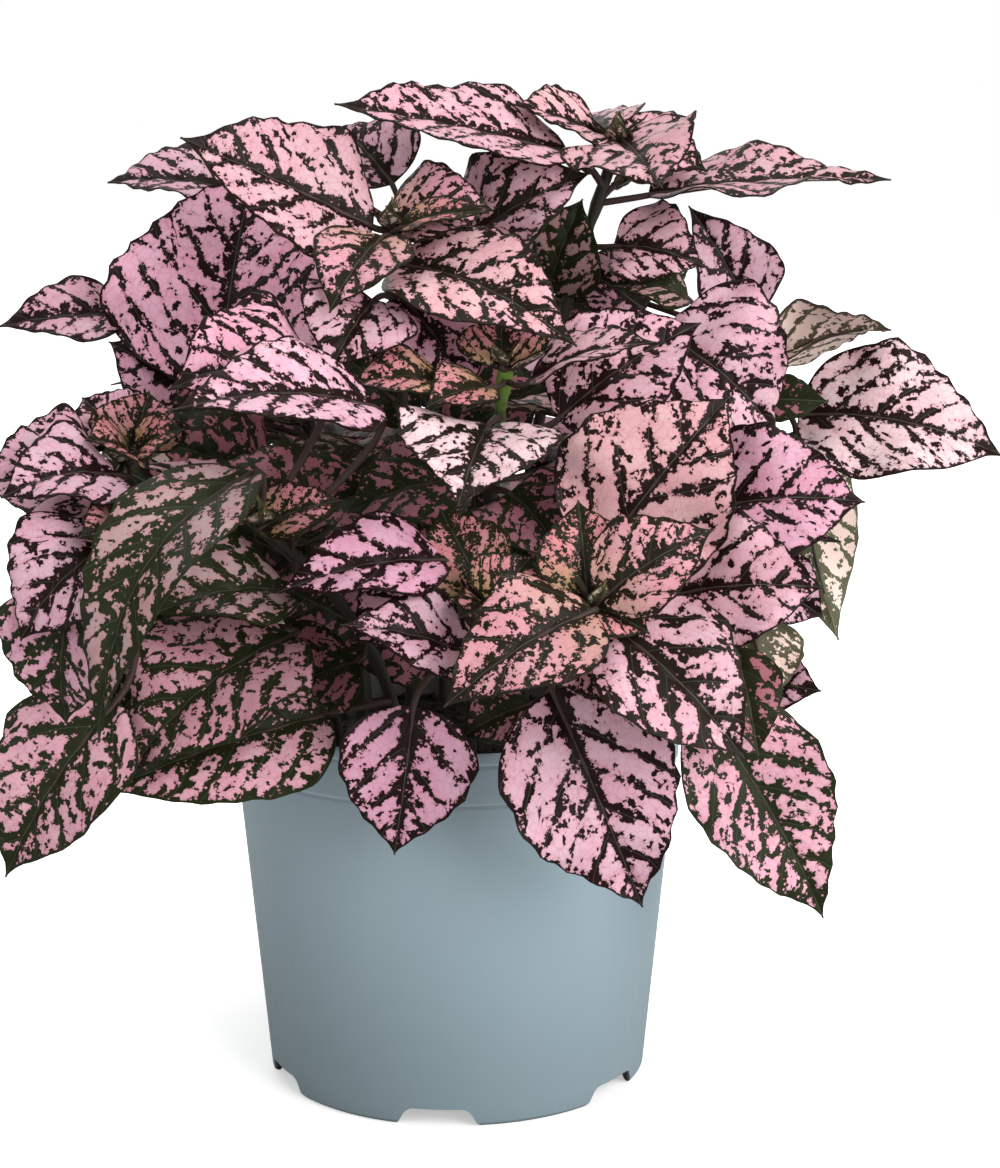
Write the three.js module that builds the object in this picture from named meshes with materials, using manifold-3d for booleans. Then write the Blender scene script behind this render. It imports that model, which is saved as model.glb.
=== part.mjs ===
import * as THREE from 'three';
import { mergeVertices } from 'three/addons/utils/BufferGeometryUtils.js';
import Module from 'manifold-3d';

// A polka dot plant (Hypoestes) in its nursery pot. Millimetres, +Z up, the front looks along -Y.
// The origin is the middle of the pot's foot, on the surface that the pot stands on.
const wasm = await Module();
wasm.setup();

// Driving dimensions of the pot and the soil
const pot = {
  height: 100,
  rimRadius: 60,
  footRadius: 50.7,
  wall: 1.4,
  lipHeight: 2.9,
  bandHeight: 13.1,
  bandStep: 0.6,
  lipProud: 0.5,
  taperTop: 59,
  floorRaise: 5.6,
  footWidth: 3.2,
  footSlope: 1,
  padRadius: 18,
  padSlope: 2,
  edgeRound: 1,
  notchCount: 6,
  notchWidth: 20,
  notchHeight: 4.8,
  notchTurn: -5,
  drainHoles: 6,
  drainRadius: 4,
  drainRing: 34,
  drainSides: 8,
  sides: 32,
};
const soil = {
  top: 89,
  crown: 2,
  shoulderShare: 0.6,
  shoulderRise: 1.4,
  gap: 0.3,
  stemHoleDepth: 20,
  holeSides: 8,
};

// Driving dimensions of the stems and the leaves
const stem = {
  radius: 1.7,
  sides: 5,
  steps: 4,
  collar: 3,
  overlap: 1.5,
  upright: 0.5,
  budRadius: 2.3,
  budStretch: 1.5,
  budSides: 5,
  budRings: 3,
};
const petiole = { half: 0.9, thick: 1.6, bend: 0.35, middle: 0.55, climb: 0.5, lowest: 8, marks: 40 };
const blade = {
  thick: 0.8,
  clear: 0.35,
  baseFullness: 0.6,
  tipTaper: 1.15,
  fold: 0.2,
  scallop: 0.06,
  ruffle: 0.035,
  tipHalf: 0.5,
};

// Stations along a blade, from its base to its tip: the wider a leaf is, the more it has
const stations = [
  { from: 42, at: [0.03, 0.19, 0.36, 0.56, 0.78, 1] },
  { from: 35, at: [0.03, 0.22, 0.46, 0.72, 1] },
  { from: 26, at: [0.03, 0.28, 0.62, 1] },
  { from: 0, at: [0.04, 0.36, 1] },
];

// Each leafy stem has its foot on the soil and its apex. A leaf's row gives its blade's base, its
// tip, its width, the way that its upper face looks, and how high its midrib arches.
const leafyStems = {
  right_front: {
    foot: [24, -26],
    apex: [33, -84, 141],
    leaves: [
      [[24, -76, 120], [46, -74, 66], 42, [0, -10, 3], 6],
      [[37, -86, 138], [68, -94, 108], 36, [0, -10, 9], 5],
      [[33, -90, 142], [-1, -106, 123], 30, [0, -10, 9], 5],
      [[29, -88, 138], [37, -100, 120], 26, [0, -10, 6], 3],
      [[35, -86, 144], [61, -84, 160], 26, [0, -10, 9], 3],
      [[32, -86, 144], [30, -80, 165], 22, [0, -10, 3], 2],
      [[32, -88, 142], [46, -100, 137], 18, [0, -10, 8], 2],
      [[19, -64, 114], [2, -66, 106], 18, [0, -9, 8], 2],
    ],
    nodes: [0.5],
  },
  mid_front: {
    foot: [4, -36],
    apex: [8, -74, 140],
    leaves: [
      [[-9, -70, 115], [-14, -70, 78], 33, [1, -10, 4], 3],
      [[-2, -68, 150], [-40, -84, 145], 26, [0, -8, 10], 4],
      [[7, -78, 128], [-25, -92, 139], 24, [0, -9, 10], 3],
      [[-3, -62, 139], [-24, -72, 131], 28, [0, -10, 9], 3],
      [[10, -78, 141], [19, -74, 152], 20, [0, -10, 5], 2],
      [[9, -80, 141], [2, -90, 140], 12, [0, -8, 10], 1],
      [[8, -74, 142], [-3, -66, 161], 22, [0, -10, 4], 2],
      [[2, -50, 142], [-20, -54, 154], 28, [0, -9, 9], 3],
    ],
    nodes: [0.5],
  },
  left_front: {
    foot: [-30, -26],
    apex: [-77, -76, 155],
    leaves: [
      [[-79, -78, 118], [-106, -82, 76], 36, [-3, -10, 5], 5],
      [[-79, -80, 156], [-99, -90, 135], 34, [-3, -10, 6], 5],
      [[-87, -86, 147], [-90, -84, 114], 32, [-4, -10, 3], 4],
      [[-39, -62, 130], [-77, -88, 100], 44, [-2, -9, 9], 8],
      [[-75, -80, 157], [-85, -90, 159], 18, [0, -8, 10], 2],
      [[-74, -77, 157], [-70, -74, 165], 18, [0, -10, 7], 2],
    ],
    nodes: [0.6, 0.85],
  },
  mid_left: {
    foot: [-14, -34],
    apex: [-46, -66, 158],
    leaves: [
      [[-46, -74, 172], [-79, -106, 115], 32, [-5, -8, 5], 16],
      [[-30, -64, 112], [-83, -88, 99], 38, [0, -10, 7], 4],
      [[-32, -50, 193], [-66, -72, 191], 38, [0, -9, 9], 6],
      [[-18, -58, 183], [-62, -84, 183], 32, [0, -8, 10], 5],
      [[-39, -64, 142], [-70, -80, 139], 28, [0, -8, 10], 4],
      [[-24, -54, 124], [-50, -64, 115], 28, [0, -9, 9], 3],
      [[-45, -70, 158], [-26, -66, 164], 18, [0, -8, 10], 2],
      [[-46, -70, 159], [-48, -60, 164], 16, [0, -10, 5], 1],
      [[-36, -56, 160], [-62, -56, 167], 26, [0, -8, 10], 3],
    ],
    nodes: [0.5, 0.8],
  },
  left: {
    foot: [-32, -6],
    apex: [-80, -50, 171],
    leaves: [
      [[-84, -58, 168], [-112, -66, 168], 36, [0, -9, 9], 2],
      [[-79, -64, 169], [-104, -78, 165], 28, [0, -8, 10], 4],
      [[-80, -48, 176], [-91, -42, 186], 20, [0, -10, 7], 2],
      [[-77, -48, 174], [-74, -42, 188], 24, [0, -10, 5], 2],
      [[-77, -58, 173], [-86, -70, 179], 18, [0, -8, 10], 2],
      [[-76, -56, 173], [-64, -62, 178], 16, [0, -8, 10], 2],
      [[-42, -26, 143], [-64, -40, 156], 30, [0, -10, 5], 3],
      [[-26, -24, 126], [-48, -36, 140], 32, [0, -10, 5], 3],
      [[-72, -58, 121], [-86, -64, 104], 26, [-2, -10, 3], 2],
      [[-8, -28, 123], [-29, -42, 118], 30, [0, -10, 5], 2],
    ],
    nodes: [0.5, 0.8],
  },
  centre: {
    foot: [6, -18],
    apex: [13, -45, 193],
    leaves: [
      [[9, -56, 181], [2, -88, 166], 40, [0, -7, 10], 3],
      [[26, -44, 181], [61, -38, 204], 36, [0, -10, 9], 4],
      [[19, -52, 191], [49, -60, 201], 22, [0, -4, 10], 3],
      [[9, -56, 190], [-6, -66, 186], 18, [0, -6, 10], 2],
      [[12, -46, 194], [12, -38, 205], 22, [0, -10, 3], 2],
      [[-3, -58, 189], [-25, -66, 186], 18, [0, -6, 10], 3],
      [[4, -44, 166], [-26, -50, 158], 34, [0, -8, 10], 3],
      [[14, -40, 162], [28, -58, 148], 32, [0, -9, 8], 3],
    ],
    nodes: [0.45, 0.7],
  },
  right_mid: {
    foot: [30, -10],
    apex: [56, -28, 176],
    leaves: [
      [[36, -62, 150], [67, -56, 188], 46, [0, -10, 6], 5],
      [[52, -22, 200], [81, -30, 176], 46, [0, -10, 7], 6],
      [[61, -44, 158], [101, -48, 161], 38, [1, -10, 6], 6],
      [[53, -60, 140], [89, -66, 143], 38, [0, -10, 7], 4],
      [[69, -56, 126], [74, -68, 102], 18, [2, -10, 4], 2],
      [[60, -8, 208], [40, -10, 211], 20, [0, -7, 10], 3],
    ],
    nodes: [0.45, 0.7, 0.92],
  },
  tall_left: {
    foot: [-12, -4],
    apex: [-15, -25, 226],
    leaves: [
      [[-20, -28, 227], [-65, -46, 249], 38, [0, -10, 8], 1],
      [[-14, -28, 228], [10, -28, 231], 27, [0, -9, 10], 4],
      [[-17, -34, 225], [-29, -54, 208], 24, [-2, -10, 7], 3],
      [[-13, -34, 227], [9, -42, 231], 14, [0, -6, 10], 2],
      [[-14, -32, 220], [30, -58, 204], 34, [0, -9, 10], 6],
      [[1, -13, 221], [34, -19, 240], 36, [0, -9, 9], 3],
      [[-19, -46, 210], [-29, -62, 194], 30, [0, -10, 7], 3],
      [[-13, -34, 210], [4, -42, 186], 36, [2, -10, 6], 4],
      [[4, -2, 217], [21, -12, 208], 28, [0, -10, 8], 3],
      [[-20, -44, 166], [-46, -56, 157], 30, [0, -8, 10], 3],
      [[-17, 2, 181], [-35, -8, 198], 30, [0, -10, 4], 3],
    ],
    nodes: [0.35, 0.55, 0.75],
  },
  tall_right: {
    foot: [14, 8],
    apex: [42, 0, 247],
    leaves: [
      [[29, -8, 244], [-29, -30, 255], 36, [0, -6, 10], 1],
      [[50, 0, 234], [112, -4, 238], 36, [0, -3, 10], 2],
      [[43, -4, 248], [51, -40, 237], 35, [-3, -5, 10], 2],
      [[38, 2, 247], [15, -10, 253], 25, [0, -6, 10], 1],
      [[39, 0, 251], [65, -14, 246], 28, [0, -6, 10], 2],
      [[39, 4, 250], [33, 34, 252], 26, [0, -6, 10], 1],
      [[41, -2, 221], [64, -8, 216], 28, [0, -9, 8], 3],
      [[24, 6, 209], [33, 2, 233], 26, [-2, -10, 3], 2],
    ],
    nodes: [0.35, 0.55],
  },
  right: {
    foot: [36, 4],
    apex: [84, 8, 190],
    leaves: [
      [[91, 8, 176], [144, 0, 166], 43, [1, -10, 8], 7],
      [[85, 10, 189], [114, 2, 199], 34, [0, 5, 10], 4],
      [[91, 14, 171], [103, 8, 115], 34, [-3, 10, -1], 5],
      [[62, -44, 109], [94, -42, 53], 37, [1, -10, 5], 7],
      [[76, -24, 126], [81, -34, 108], 24, [0, 10, -2], 2],
      [[77, -20, 108], [94, -28, 109], 20, [0, -9, 8], 2],
      [[80, 0, 133], [97, -6, 124], 22, [0, -10, 5], 2],
    ],
    nodes: [0.35, 0.55, 0.75, 0.93],
  },
  back_left: {
    foot: [-26, 14],
    apex: [-56, 22, 208],
    leaves: [
      [[-61, -14, 185], [-52, 4, 242], 62, [-1, -10, 4], 4],
      [[-59, 12, 235], [-91, 4, 237], 30, [0, -5, 10], 2],
      [[-85, -2, 203], [-117, -12, 201], 23, [0, -8, 10], 2],
      [[-16, -6, 237], [-31, 10, 251], 28, [0, -10, 8], 3],
      [[-50, -8, 161], [-76, -24, 173], 34, [0, -10, 5], 3],
      [[-65, -10, 182], [-89, -18, 197], 28, [-2, -10, 4], 3],
    ],
    nodes: [0.35, 0.52, 0.7, 0.9],
  },
  back_right: {
    foot: [18, 26],
    apex: [56, 38, 212],
    leaves: [
      [[80, 24, 200], [61, 8, 231], 26, [2, -10, 2], 3],
      [[49, 12, 204], [29, 10, 215], 26, [0, -10, 7], 3],
      [[26, 68, 114], [34, 92, 78], 36, [1, 10, 5], 6],
    ],
    nodes: [0.35, 0.52, 0.7, 0.9],
  },
  back: {
    foot: [-4, 34],
    apex: [-10, 66, 198],
    leaves: [
      [[-6, 70, 118], [-4, 94, 80], 38, [0, 10, 5], 6],
      [[-12, 74, 190], [-14, 110, 178], 40, [0, 5, 10], 5],
      [[0, 6, 170], [24, -4, 186], 32, [0, -10, 4], 3],
    ],
    nodes: [0.35, 0.52, 0.7, 0.9],
  },
  low_back_left: {
    foot: [-26, 32],
    apex: [-60, 56, 166],
    leaves: [
      [[-38, 58, 114], [-52, 82, 76], 38, [-5, 10, 5], 6],
      [[-60, 28, 120], [-90, 38, 88], 36, [-10, 3, 5], 6],
      [[-66, 62, 162], [-90, 78, 146], 38, [-5, 5, 10], 5],
      [[-52, 62, 164], [-44, 92, 158], 32, [-1, 6, 10], 4],
    ],
    nodes: [0.4, 0.6, 0.8, 0.96],
  },
  low_back_right: {
    foot: [26, 34],
    apex: [58, 62, 168],
    leaves: [
      [[44, 56, 114], [62, 80, 78], 38, [5, 10, 5], 6],
      [[60, 68, 162], [78, 88, 146], 38, [5, 5, 10], 5],
      [[66, 56, 166], [98, 60, 156], 34, [6, 2, 10], 4],
    ],
    nodes: [0.4, 0.6, 0.8, 0.96],
  },
};

// Leaves of the rule: opposite pairs at a stem's nodes, each pair turned a quarter from the last
const pairs = {
  length: 46,
  lengthLeast: 0.85,
  lengthSpread: 0.3,
  shorterAbove: 0.6,
  shorterBy: 12,
  petiole: 0.32,
  reach: 1.3,
  widthShare: 0.8,
  archShare: 0.09,
  turnStart: 0.5,
  turnSpread: 0.7,
  riseLow: -5,
  riseGain: 30,
  riseSpread: 20,
  tipDrop: 6,
  lengthSeed: 500,
  riseSeed: 900,
};
// The crown of a rule leaf's reach, which keeps it behind and under the leaves of the front
const crown = { front: -40, back: 112, side: 104, middle: -4, top: 206, slope: 0.2, low: 88 };

const vec = (list) => new THREE.Vector3(...list);
const along = (p, d, k) => p.clone().addScaledVector(d, k);
const radians = THREE.MathUtils.degToRad;

// A number from 0 to 1 that is always the same for the same seed
function jitter(seed) {
  const v = Math.sin(seed * 12.9898) * 43758.5453;
  return v - Math.floor(v);
}

// Closed solids from three.js geometry and back
function toSolid(geometry) {
  const bare = geometry.clone();
  bare.deleteAttribute('normal');
  bare.deleteAttribute('uv');
  const merged = mergeVertices(bare, 1e-4);
  const mesh = new wasm.Mesh({
    numProp: 3,
    vertProperties: new Float32Array(merged.attributes.position.array),
    triVerts: new Uint32Array(merged.index.array),
  });
  return new wasm.Manifold(mesh);
}

function toGeometry(solid) {
  const mesh = solid.getMesh();
  const geometry = new THREE.BufferGeometry();
  geometry.setAttribute('position', new THREE.BufferAttribute(mesh.vertProperties, 3));
  geometry.setIndex(new THREE.BufferAttribute(mesh.triVerts, 1));
  geometry.computeVertexNormals();
  return geometry;
}

function lathe(points) {
  const profile = points.map(([r, z]) => new THREE.Vector2(r, z));
  const geometry = new THREE.LatheGeometry(profile, pot.sides);
  geometry.rotateX(Math.PI / 2);
  return toSolid(geometry);
}

function uprightCylinder(radius, low, high, sides, x, y) {
  const geometry = new THREE.CylinderGeometry(radius, radius, high - low, sides);
  geometry.rotateX(Math.PI / 2);
  geometry.translate(x, y, (low + high) / 2);
  return toSolid(geometry);
}

// The pot: a tapered wall with a band and a lip, a raised floor, and notches in its foot
const floorTop = pot.floorRaise + pot.wall;
const bandLow = pot.height - pot.bandHeight;
const lipLow = pot.height - pot.lipHeight;
const bandRadius = pot.rimRadius - pot.lipProud;
const insideFoot = pot.footRadius - pot.wall;
const insideRim = bandRadius - pot.wall;
const padTop = pot.padRadius + pot.wall / 2;
const footInside = pot.footRadius - pot.footWidth;
const notchDepth = 4 * pot.footWidth;
const cutOver = 2;

function potSolid() {
  let body = lathe([
    [0, 0],
    [pot.padRadius, 0],
    [pot.padRadius + pot.padSlope, pot.floorRaise],
    [footInside - pot.footSlope, pot.floorRaise],
    [footInside, 0],
    [pot.footRadius - pot.edgeRound, 0],
    [pot.footRadius, pot.edgeRound],
    [pot.taperTop, bandLow],
    [bandRadius, bandLow + pot.bandStep],
    [bandRadius, lipLow],
    [pot.rimRadius, lipLow + pot.lipProud],
    [pot.rimRadius, pot.height],
    [insideRim, pot.height],
    [insideFoot, floorTop],
    [padTop + pot.padSlope, floorTop],
    [padTop, pot.wall],
    [0, pot.wall],
  ]);
  for (let i = 0; i < pot.notchCount; i++) {
    const angle = radians(pot.notchTurn - 90 + (360 / pot.notchCount) * i);
    const tall = pot.notchHeight + cutOver;
    const notch = new THREE.BoxGeometry(notchDepth, pot.notchWidth, tall);
    notch.translate(pot.footRadius, 0, pot.notchHeight - tall / 2);
    notch.rotateZ(angle);
    body = body.subtract(toSolid(notch));
  }
  for (let i = 0; i < pot.drainHoles; i++) {
    const angle = radians((360 / pot.drainHoles) * i);
    const x = pot.drainRing * Math.cos(angle);
    const y = pot.drainRing * Math.sin(angle);
    const hole = uprightCylinder(pot.drainRadius, 0, floorTop + cutOver, pot.drainSides, x, y);
    body = body.subtract(hole);
  }
  return body;
}

// The soil fills the pot to below its rim, with a plain hole for each stem
function soilSolid() {
  const wallRise = (insideRim - insideFoot) / (pot.height - floorTop);
  const bottom = floorTop + soil.gap;
  const side = (z) => insideFoot + (z - floorTop) * wallRise - soil.gap;
  let body = lathe([
    [0, bottom],
    [side(bottom), bottom],
    [side(soil.top), soil.top],
    [side(soil.top) * soil.shoulderShare, soil.top + soil.shoulderRise],
    [0, soil.top + soil.crown],
  ]);
  for (const { foot } of Object.values(leafyStems)) {
    const radius = stem.radius + soil.gap;
    const low = soil.top - soil.stemHoleDepth - soil.gap;
    const high = soil.top + soil.crown + cutOver;
    body = body.subtract(uprightCylinder(radius, low, high, soil.holeSides, ...foot));
  }
  return body;
}

// A stem rises straight out of the soil and bends to its apex
function stemCurve({ foot, apex }) {
  const start = vec([foot[0], foot[1], soil.top + stem.collar]);
  const end = vec(apex);
  const bend = start.clone();
  bend.z += stem.upright * (end.z - start.z);
  return new THREE.QuadraticBezierCurve3(start, bend, end);
}

function stemSolid(row) {
  const curve = stemCurve(row);
  const section = new THREE.Shape();
  for (let i = 0; i < stem.sides; i++) {
    const angle = (2 * Math.PI * i) / stem.sides;
    const point = [stem.radius * Math.cos(angle), stem.radius * Math.sin(angle)];
    if (i === 0) section.moveTo(...point);
    else section.lineTo(...point);
  }
  const settings = { steps: stem.steps, extrudePath: curve, bevelEnabled: false };
  const tube = toSolid(new THREE.ExtrudeGeometry(section, settings));
  const low = soil.top - soil.stemHoleDepth;
  const high = curve.v0.z + stem.overlap;
  const rooted = uprightCylinder(stem.radius, low, high, stem.sides, ...row.foot);
  const bud = new THREE.SphereGeometry(stem.budRadius, stem.budSides, stem.budRings);
  bud.rotateX(Math.PI / 2);
  bud.scale(1, 1, stem.budStretch);
  bud.translate(...row.apex);
  return tube.add(rooted).add(toSolid(bud));
}

// The point at a share of the way up a stem, on the straight steps that the stem is built of
function stemPoint(row, share) {
  const steps = stemCurve(row).getSpacedPoints(stem.steps);
  const at = share * stem.steps;
  const i = Math.min(Math.floor(at), stem.steps - 1);
  return steps[i].lerp(steps[i + 1], at - i);
}

// The point where a leaf's petiole leaves its stem
function rootPoint(row, base) {
  let root;
  let nearest = Infinity;
  for (let i = petiole.lowest; i <= petiole.marks; i++) {
    const point = stemPoint(row, i / petiole.marks);
    const sideways = Math.hypot(point.x - base.x, point.y - base.y);
    const below = base.clone();
    below.z -= petiole.climb * sideways;
    const distance = point.distanceTo(below);
    if (distance < nearest) {
      nearest = distance;
      root = point;
    }
  }
  return root;
}

// A blade is widest a third of the way along, and runs out to a drawn tip
const widest = blade.baseFullness / (blade.baseFullness + blade.tipTaper);
const outline = (s) => s ** blade.baseFullness * (1 - s) ** blade.tipTaper;
const halfWidth = (s) => outline(s) / outline(widest);

// The sections of a leaf: its petiole, then its blade, each a middle point with three directions
function leafSections(leaf, shift) {
  const base = along(leaf.base, shift, 0.5);
  const tip = along(leaf.tip, shift, 1);
  const run = tip.clone().sub(base).normalize();
  const up = along(leaf.face, run, -leaf.face.dot(run)).normalize();
  const bend = along(base.clone().lerp(tip, 0.5), up, 2 * leaf.arch);
  const side = run.clone().cross(up);
  const leaving = bend.clone().sub(base).normalize();
  const joint = along(base, leaving, -petiole.bend * base.distanceTo(leaf.root));
  const stalk = new THREE.QuadraticBezierCurve3(leaf.root, joint, base);
  const midrib = new THREE.QuadraticBezierCurve3(base, bend, tip);
  const sections = [0, petiole.middle].map((q) => {
    const tangent = stalk.getTangent(q);
    const level = along(side, tangent, -side.dot(tangent)).normalize();
    return {
      middle: stalk.getPoint(q),
      side: level,
      up: level.clone().cross(tangent).normalize(),
      half: petiole.half,
      lift: 0,
      ruffle: 0,
      thick: petiole.thick,
    };
  });
  const { at } = stations.find((size) => leaf.width >= size.from);
  at.forEach((s, i) => {
    const alternate = i % 2 ? 1 : -1;
    const tangent = midrib.getTangent(s);
    const wide = (halfWidth(s) * leaf.width) / 2;
    const half = Math.max(wide * (1 + blade.scallop * alternate), blade.tipHalf);
    sections.push({
      middle: midrib.getPoint(s),
      side,
      up: side.clone().cross(tangent).normalize(),
      half,
      lift: half * blade.fold,
      ruffle: 2 * wide * blade.ruffle * alternate,
      thick: blade.thick,
    });
  });
  return sections;
}

// A closed leaf: both faces are split into triangles alike, with a narrow edge between them. It is
// made grown by a clearance, or without its petiole, where its room is tested.
const petioleSections = 2;

function leafSolid(leaf, shift, grow = 0, skip = 0) {
  const sections = leafSections(leaf, shift).slice(skip);
  const points = [];
  for (const section of sections) {
    for (const face of [1, -1]) {
      for (const across of [-1, 0, 1]) {
        const out = across * (section.half + grow / 2);
        const lift = Math.abs(across) * section.lift + across * section.ruffle;
        const point = along(section.middle, section.side, out);
        point.addScaledVector(section.up, lift + (face * (section.thick + grow)) / 2);
        points.push(point.x, point.y, point.z);
      }
    }
  }
  const index = [];
  const quad = (a, b, c, d) => index.push(a, b, c, a, c, d);
  for (let i = 0; i < sections.length - 1; i++) {
    const a = i * 6;
    const b = a + 6;
    for (const j of [0, 1]) {
      quad(a + j, a + j + 1, b + j + 1, b + j);
      quad(a + 3 + j, b + 3 + j, b + 4 + j, a + 4 + j);
    }
    quad(a + 3, a, b, b + 3);
    quad(a + 2, a + 5, b + 5, b + 2);
  }
  const last = (sections.length - 1) * 6;
  quad(0, 3, 4, 1);
  quad(1, 4, 5, 2);
  quad(last + 3, last, last + 1, last + 4);
  quad(last + 4, last + 1, last + 2, last + 5);
  const geometry = new THREE.BufferGeometry();
  geometry.setAttribute('position', new THREE.Float32BufferAttribute(points, 3));
  geometry.setIndex(index);
  return toSolid(geometry);
}

// Leaves of the rows, which are placed first, and leaves of the rule
function rowLeaves(name, row) {
  return row.leaves.map(([base, tip, width, face, arch]) => {
    const leaf = { stem: name, base: vec(base), tip: vec(tip), width, face: vec(face), arch };
    leaf.root = rootPoint(row, leaf.base);
    return leaf;
  });
}

function ruleLeaves() {
  const leaves = [];
  let seed = 0;
  for (const [name, row] of Object.entries(leafyStems)) {
    const lean = Math.atan2(row.apex[1] - row.foot[1], row.apex[0] - row.foot[0]);
    row.nodes.forEach((share, i) => {
      for (const opposite of [0, 1]) {
        seed += 1;
        const spread = pairs.turnSpread * (jitter(seed) - 0.5);
        const turn = lean + Math.PI * opposite + (Math.PI / 2) * (i % 2) + pairs.turnStart + spread;
        const shorter = pairs.shorterBy * Math.max(0, share - pairs.shorterAbove);
        const sized = pairs.lengthLeast + pairs.lengthSpread * jitter(seed + pairs.lengthSeed);
        const length = (pairs.length - shorter) * sized;
        const lift = pairs.riseSpread * (jitter(seed + pairs.riseSeed) - 0.5);
        const rise = radians(pairs.riseLow + pairs.riseGain * share + lift);
        const flat = Math.cos(rise);
        const way = vec([Math.cos(turn) * flat, Math.sin(turn) * flat, Math.sin(rise)]);
        const root = stemPoint(row, share);
        const base = along(root, way, pairs.petiole * length);
        const tip = along(root, way, pairs.reach * length);
        tip.z -= pairs.tipDrop;
        const sideways = Math.abs(tip.x - crown.middle);
        const high = tip.z > crown.top - crown.slope * sideways;
        const outside = tip.y < crown.front || tip.y > crown.back || sideways > crown.side;
        if (high || outside || tip.z < crown.low) continue;
        const width = pairs.widthShare * length;
        const arch = pairs.archShare * length;
        leaves.push({ stem: name, base, tip, width, face: vec([0, 0, 1]), arch, root, rule: true });
      }
    });
  }
  return leaves;
}

// Where a leaf would cross another one or a stem, it is bent aside by the smallest shift that clears
const shifts = [vec([0, 0, 0])];
for (const step of [4, 8, 12, 16, 20]) {
  const half = step / 2;
  for (const [y, z] of [[step, 0], [-step, 0], [0, -half], [0, half]]) shifts.push(vec([0, y, z]));
  for (const y of [step, -step]) {
    shifts.push(vec([0, y, half]));
    shifts.push(vec([0, y, -half]));
  }
}

function boxesMeet(a, b) {
  return [0, 1, 2].every((k) => a.min[k] <= b.max[k] && b.min[k] <= a.max[k]);
}

function growPlant(fixed) {
  const grown = [...fixed];
  const stems = {};
  for (const [name, row] of Object.entries(leafyStems)) {
    stems[name] = stemSolid(row);
    grown.push({ stem: name, solid: stems[name], box: stems[name].boundingBox() });
  }
  const rows = Object.entries(leafyStems).flatMap(([name, row]) => rowLeaves(name, row));
  for (const leaf of [...rows, ...ruleLeaves()]) {
    const clears = (shift) => {
      const whole = leafSolid(leaf, shift, 2 * blade.clear);
      const outer = leafSolid(leaf, shift, 0, petioleSections);
      const box = whole.boundingBox();
      const near = grown.filter((piece) => boxesMeet(box, piece.box));
      return near.every((piece) => {
        if (piece.stem !== leaf.stem) return whole.intersect(piece.solid).isEmpty();
        return !piece.outer || outer.intersect(piece.outer).isEmpty();
      });
    };
    const shift = shifts.find(clears);
    if (!shift) {
      if (!leaf.rule) console.warn(`no room for a leaf of ${leaf.stem} at ${leaf.tip.toArray()}`);
      continue;
    }
    const solid = leafSolid(leaf, shift);
    const outer = leafSolid(leaf, shift, 0, petioleSections);
    grown.push({ stem: leaf.stem, solid, outer, box: solid.boundingBox() });
    stems[leaf.stem] = stems[leaf.stem].add(solid);
  }
  return stems;
}

// A leafy stem is one body: the specks that its joins can leave inside it go
const speck = 1;

function wholeBody(solid) {
  const bodies = solid.decompose().filter((body) => body.volume() > speck);
  if (bodies.length > 1) console.warn('a leafy stem is in more than one body');
  return bodies[0];
}

// Materials
const potPlastic = new THREE.MeshStandardMaterial({
  color: 0x93a8b3,
  roughness: 0.55,
  metalness: 0,
});
const darkSoil = new THREE.MeshStandardMaterial({ color: 0x1d1713, roughness: 0.95, metalness: 0 });
const pinkLeaf = new THREE.MeshStandardMaterial({ color: 0xd88a9c, roughness: 0.5, metalness: 0 });

// The whole plant
const plant = new THREE.Group();

function addPiece(name, solid, material) {
  const mesh = new THREE.Mesh(toGeometry(solid), material);
  mesh.name = name;
  plant.add(mesh);
}

const potBody = potSolid();
const soilBody = soilSolid();
addPiece('pot', potBody, potPlastic);
addPiece('soil', soilBody, darkSoil);
const inPot = [potBody, soilBody].map((solid) => ({
  stem: 'none',
  solid,
  box: solid.boundingBox(),
}));
for (const [name, solid] of Object.entries(growPlant(inPot))) {
  addPiece(`leafy_stem_${name}`, wholeBody(solid), pinkLeaf);
}

export default plant;
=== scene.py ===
import math
from contextlib import contextmanager

import bpy
import numpy as np
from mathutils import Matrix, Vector
from mathutils.kdtree import KDTree


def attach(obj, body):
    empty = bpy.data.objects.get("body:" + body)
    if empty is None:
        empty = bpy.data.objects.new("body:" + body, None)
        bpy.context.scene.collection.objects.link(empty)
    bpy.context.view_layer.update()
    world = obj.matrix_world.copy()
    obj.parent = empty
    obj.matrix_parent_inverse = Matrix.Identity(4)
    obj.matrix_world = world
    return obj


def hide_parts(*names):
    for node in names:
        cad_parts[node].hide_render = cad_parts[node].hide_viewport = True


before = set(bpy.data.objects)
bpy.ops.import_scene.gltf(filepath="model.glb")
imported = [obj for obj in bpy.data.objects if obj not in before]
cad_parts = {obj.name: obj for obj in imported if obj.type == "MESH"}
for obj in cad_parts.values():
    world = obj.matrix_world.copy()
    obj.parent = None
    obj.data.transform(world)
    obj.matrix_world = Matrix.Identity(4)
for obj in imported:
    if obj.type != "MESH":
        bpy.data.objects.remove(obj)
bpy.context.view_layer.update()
mm = 0.001
print("frame loaded:", len(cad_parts), "nodes")


# helpers for modelling
def makeActive(piece, *others):
    if bpy.context.mode != "OBJECT":
        bpy.ops.object.mode_set(mode="OBJECT")
    bpy.ops.object.select_all(action="DESELECT")
    for each in (piece, *others):
        each.select_set(True)
    bpy.context.view_layer.objects.active = piece


def startPiece(name, addPrimitive, **place):
    addPrimitive(**place)
    piece = bpy.context.object
    piece.name = name
    piece.data.name = name
    return piece


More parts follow.
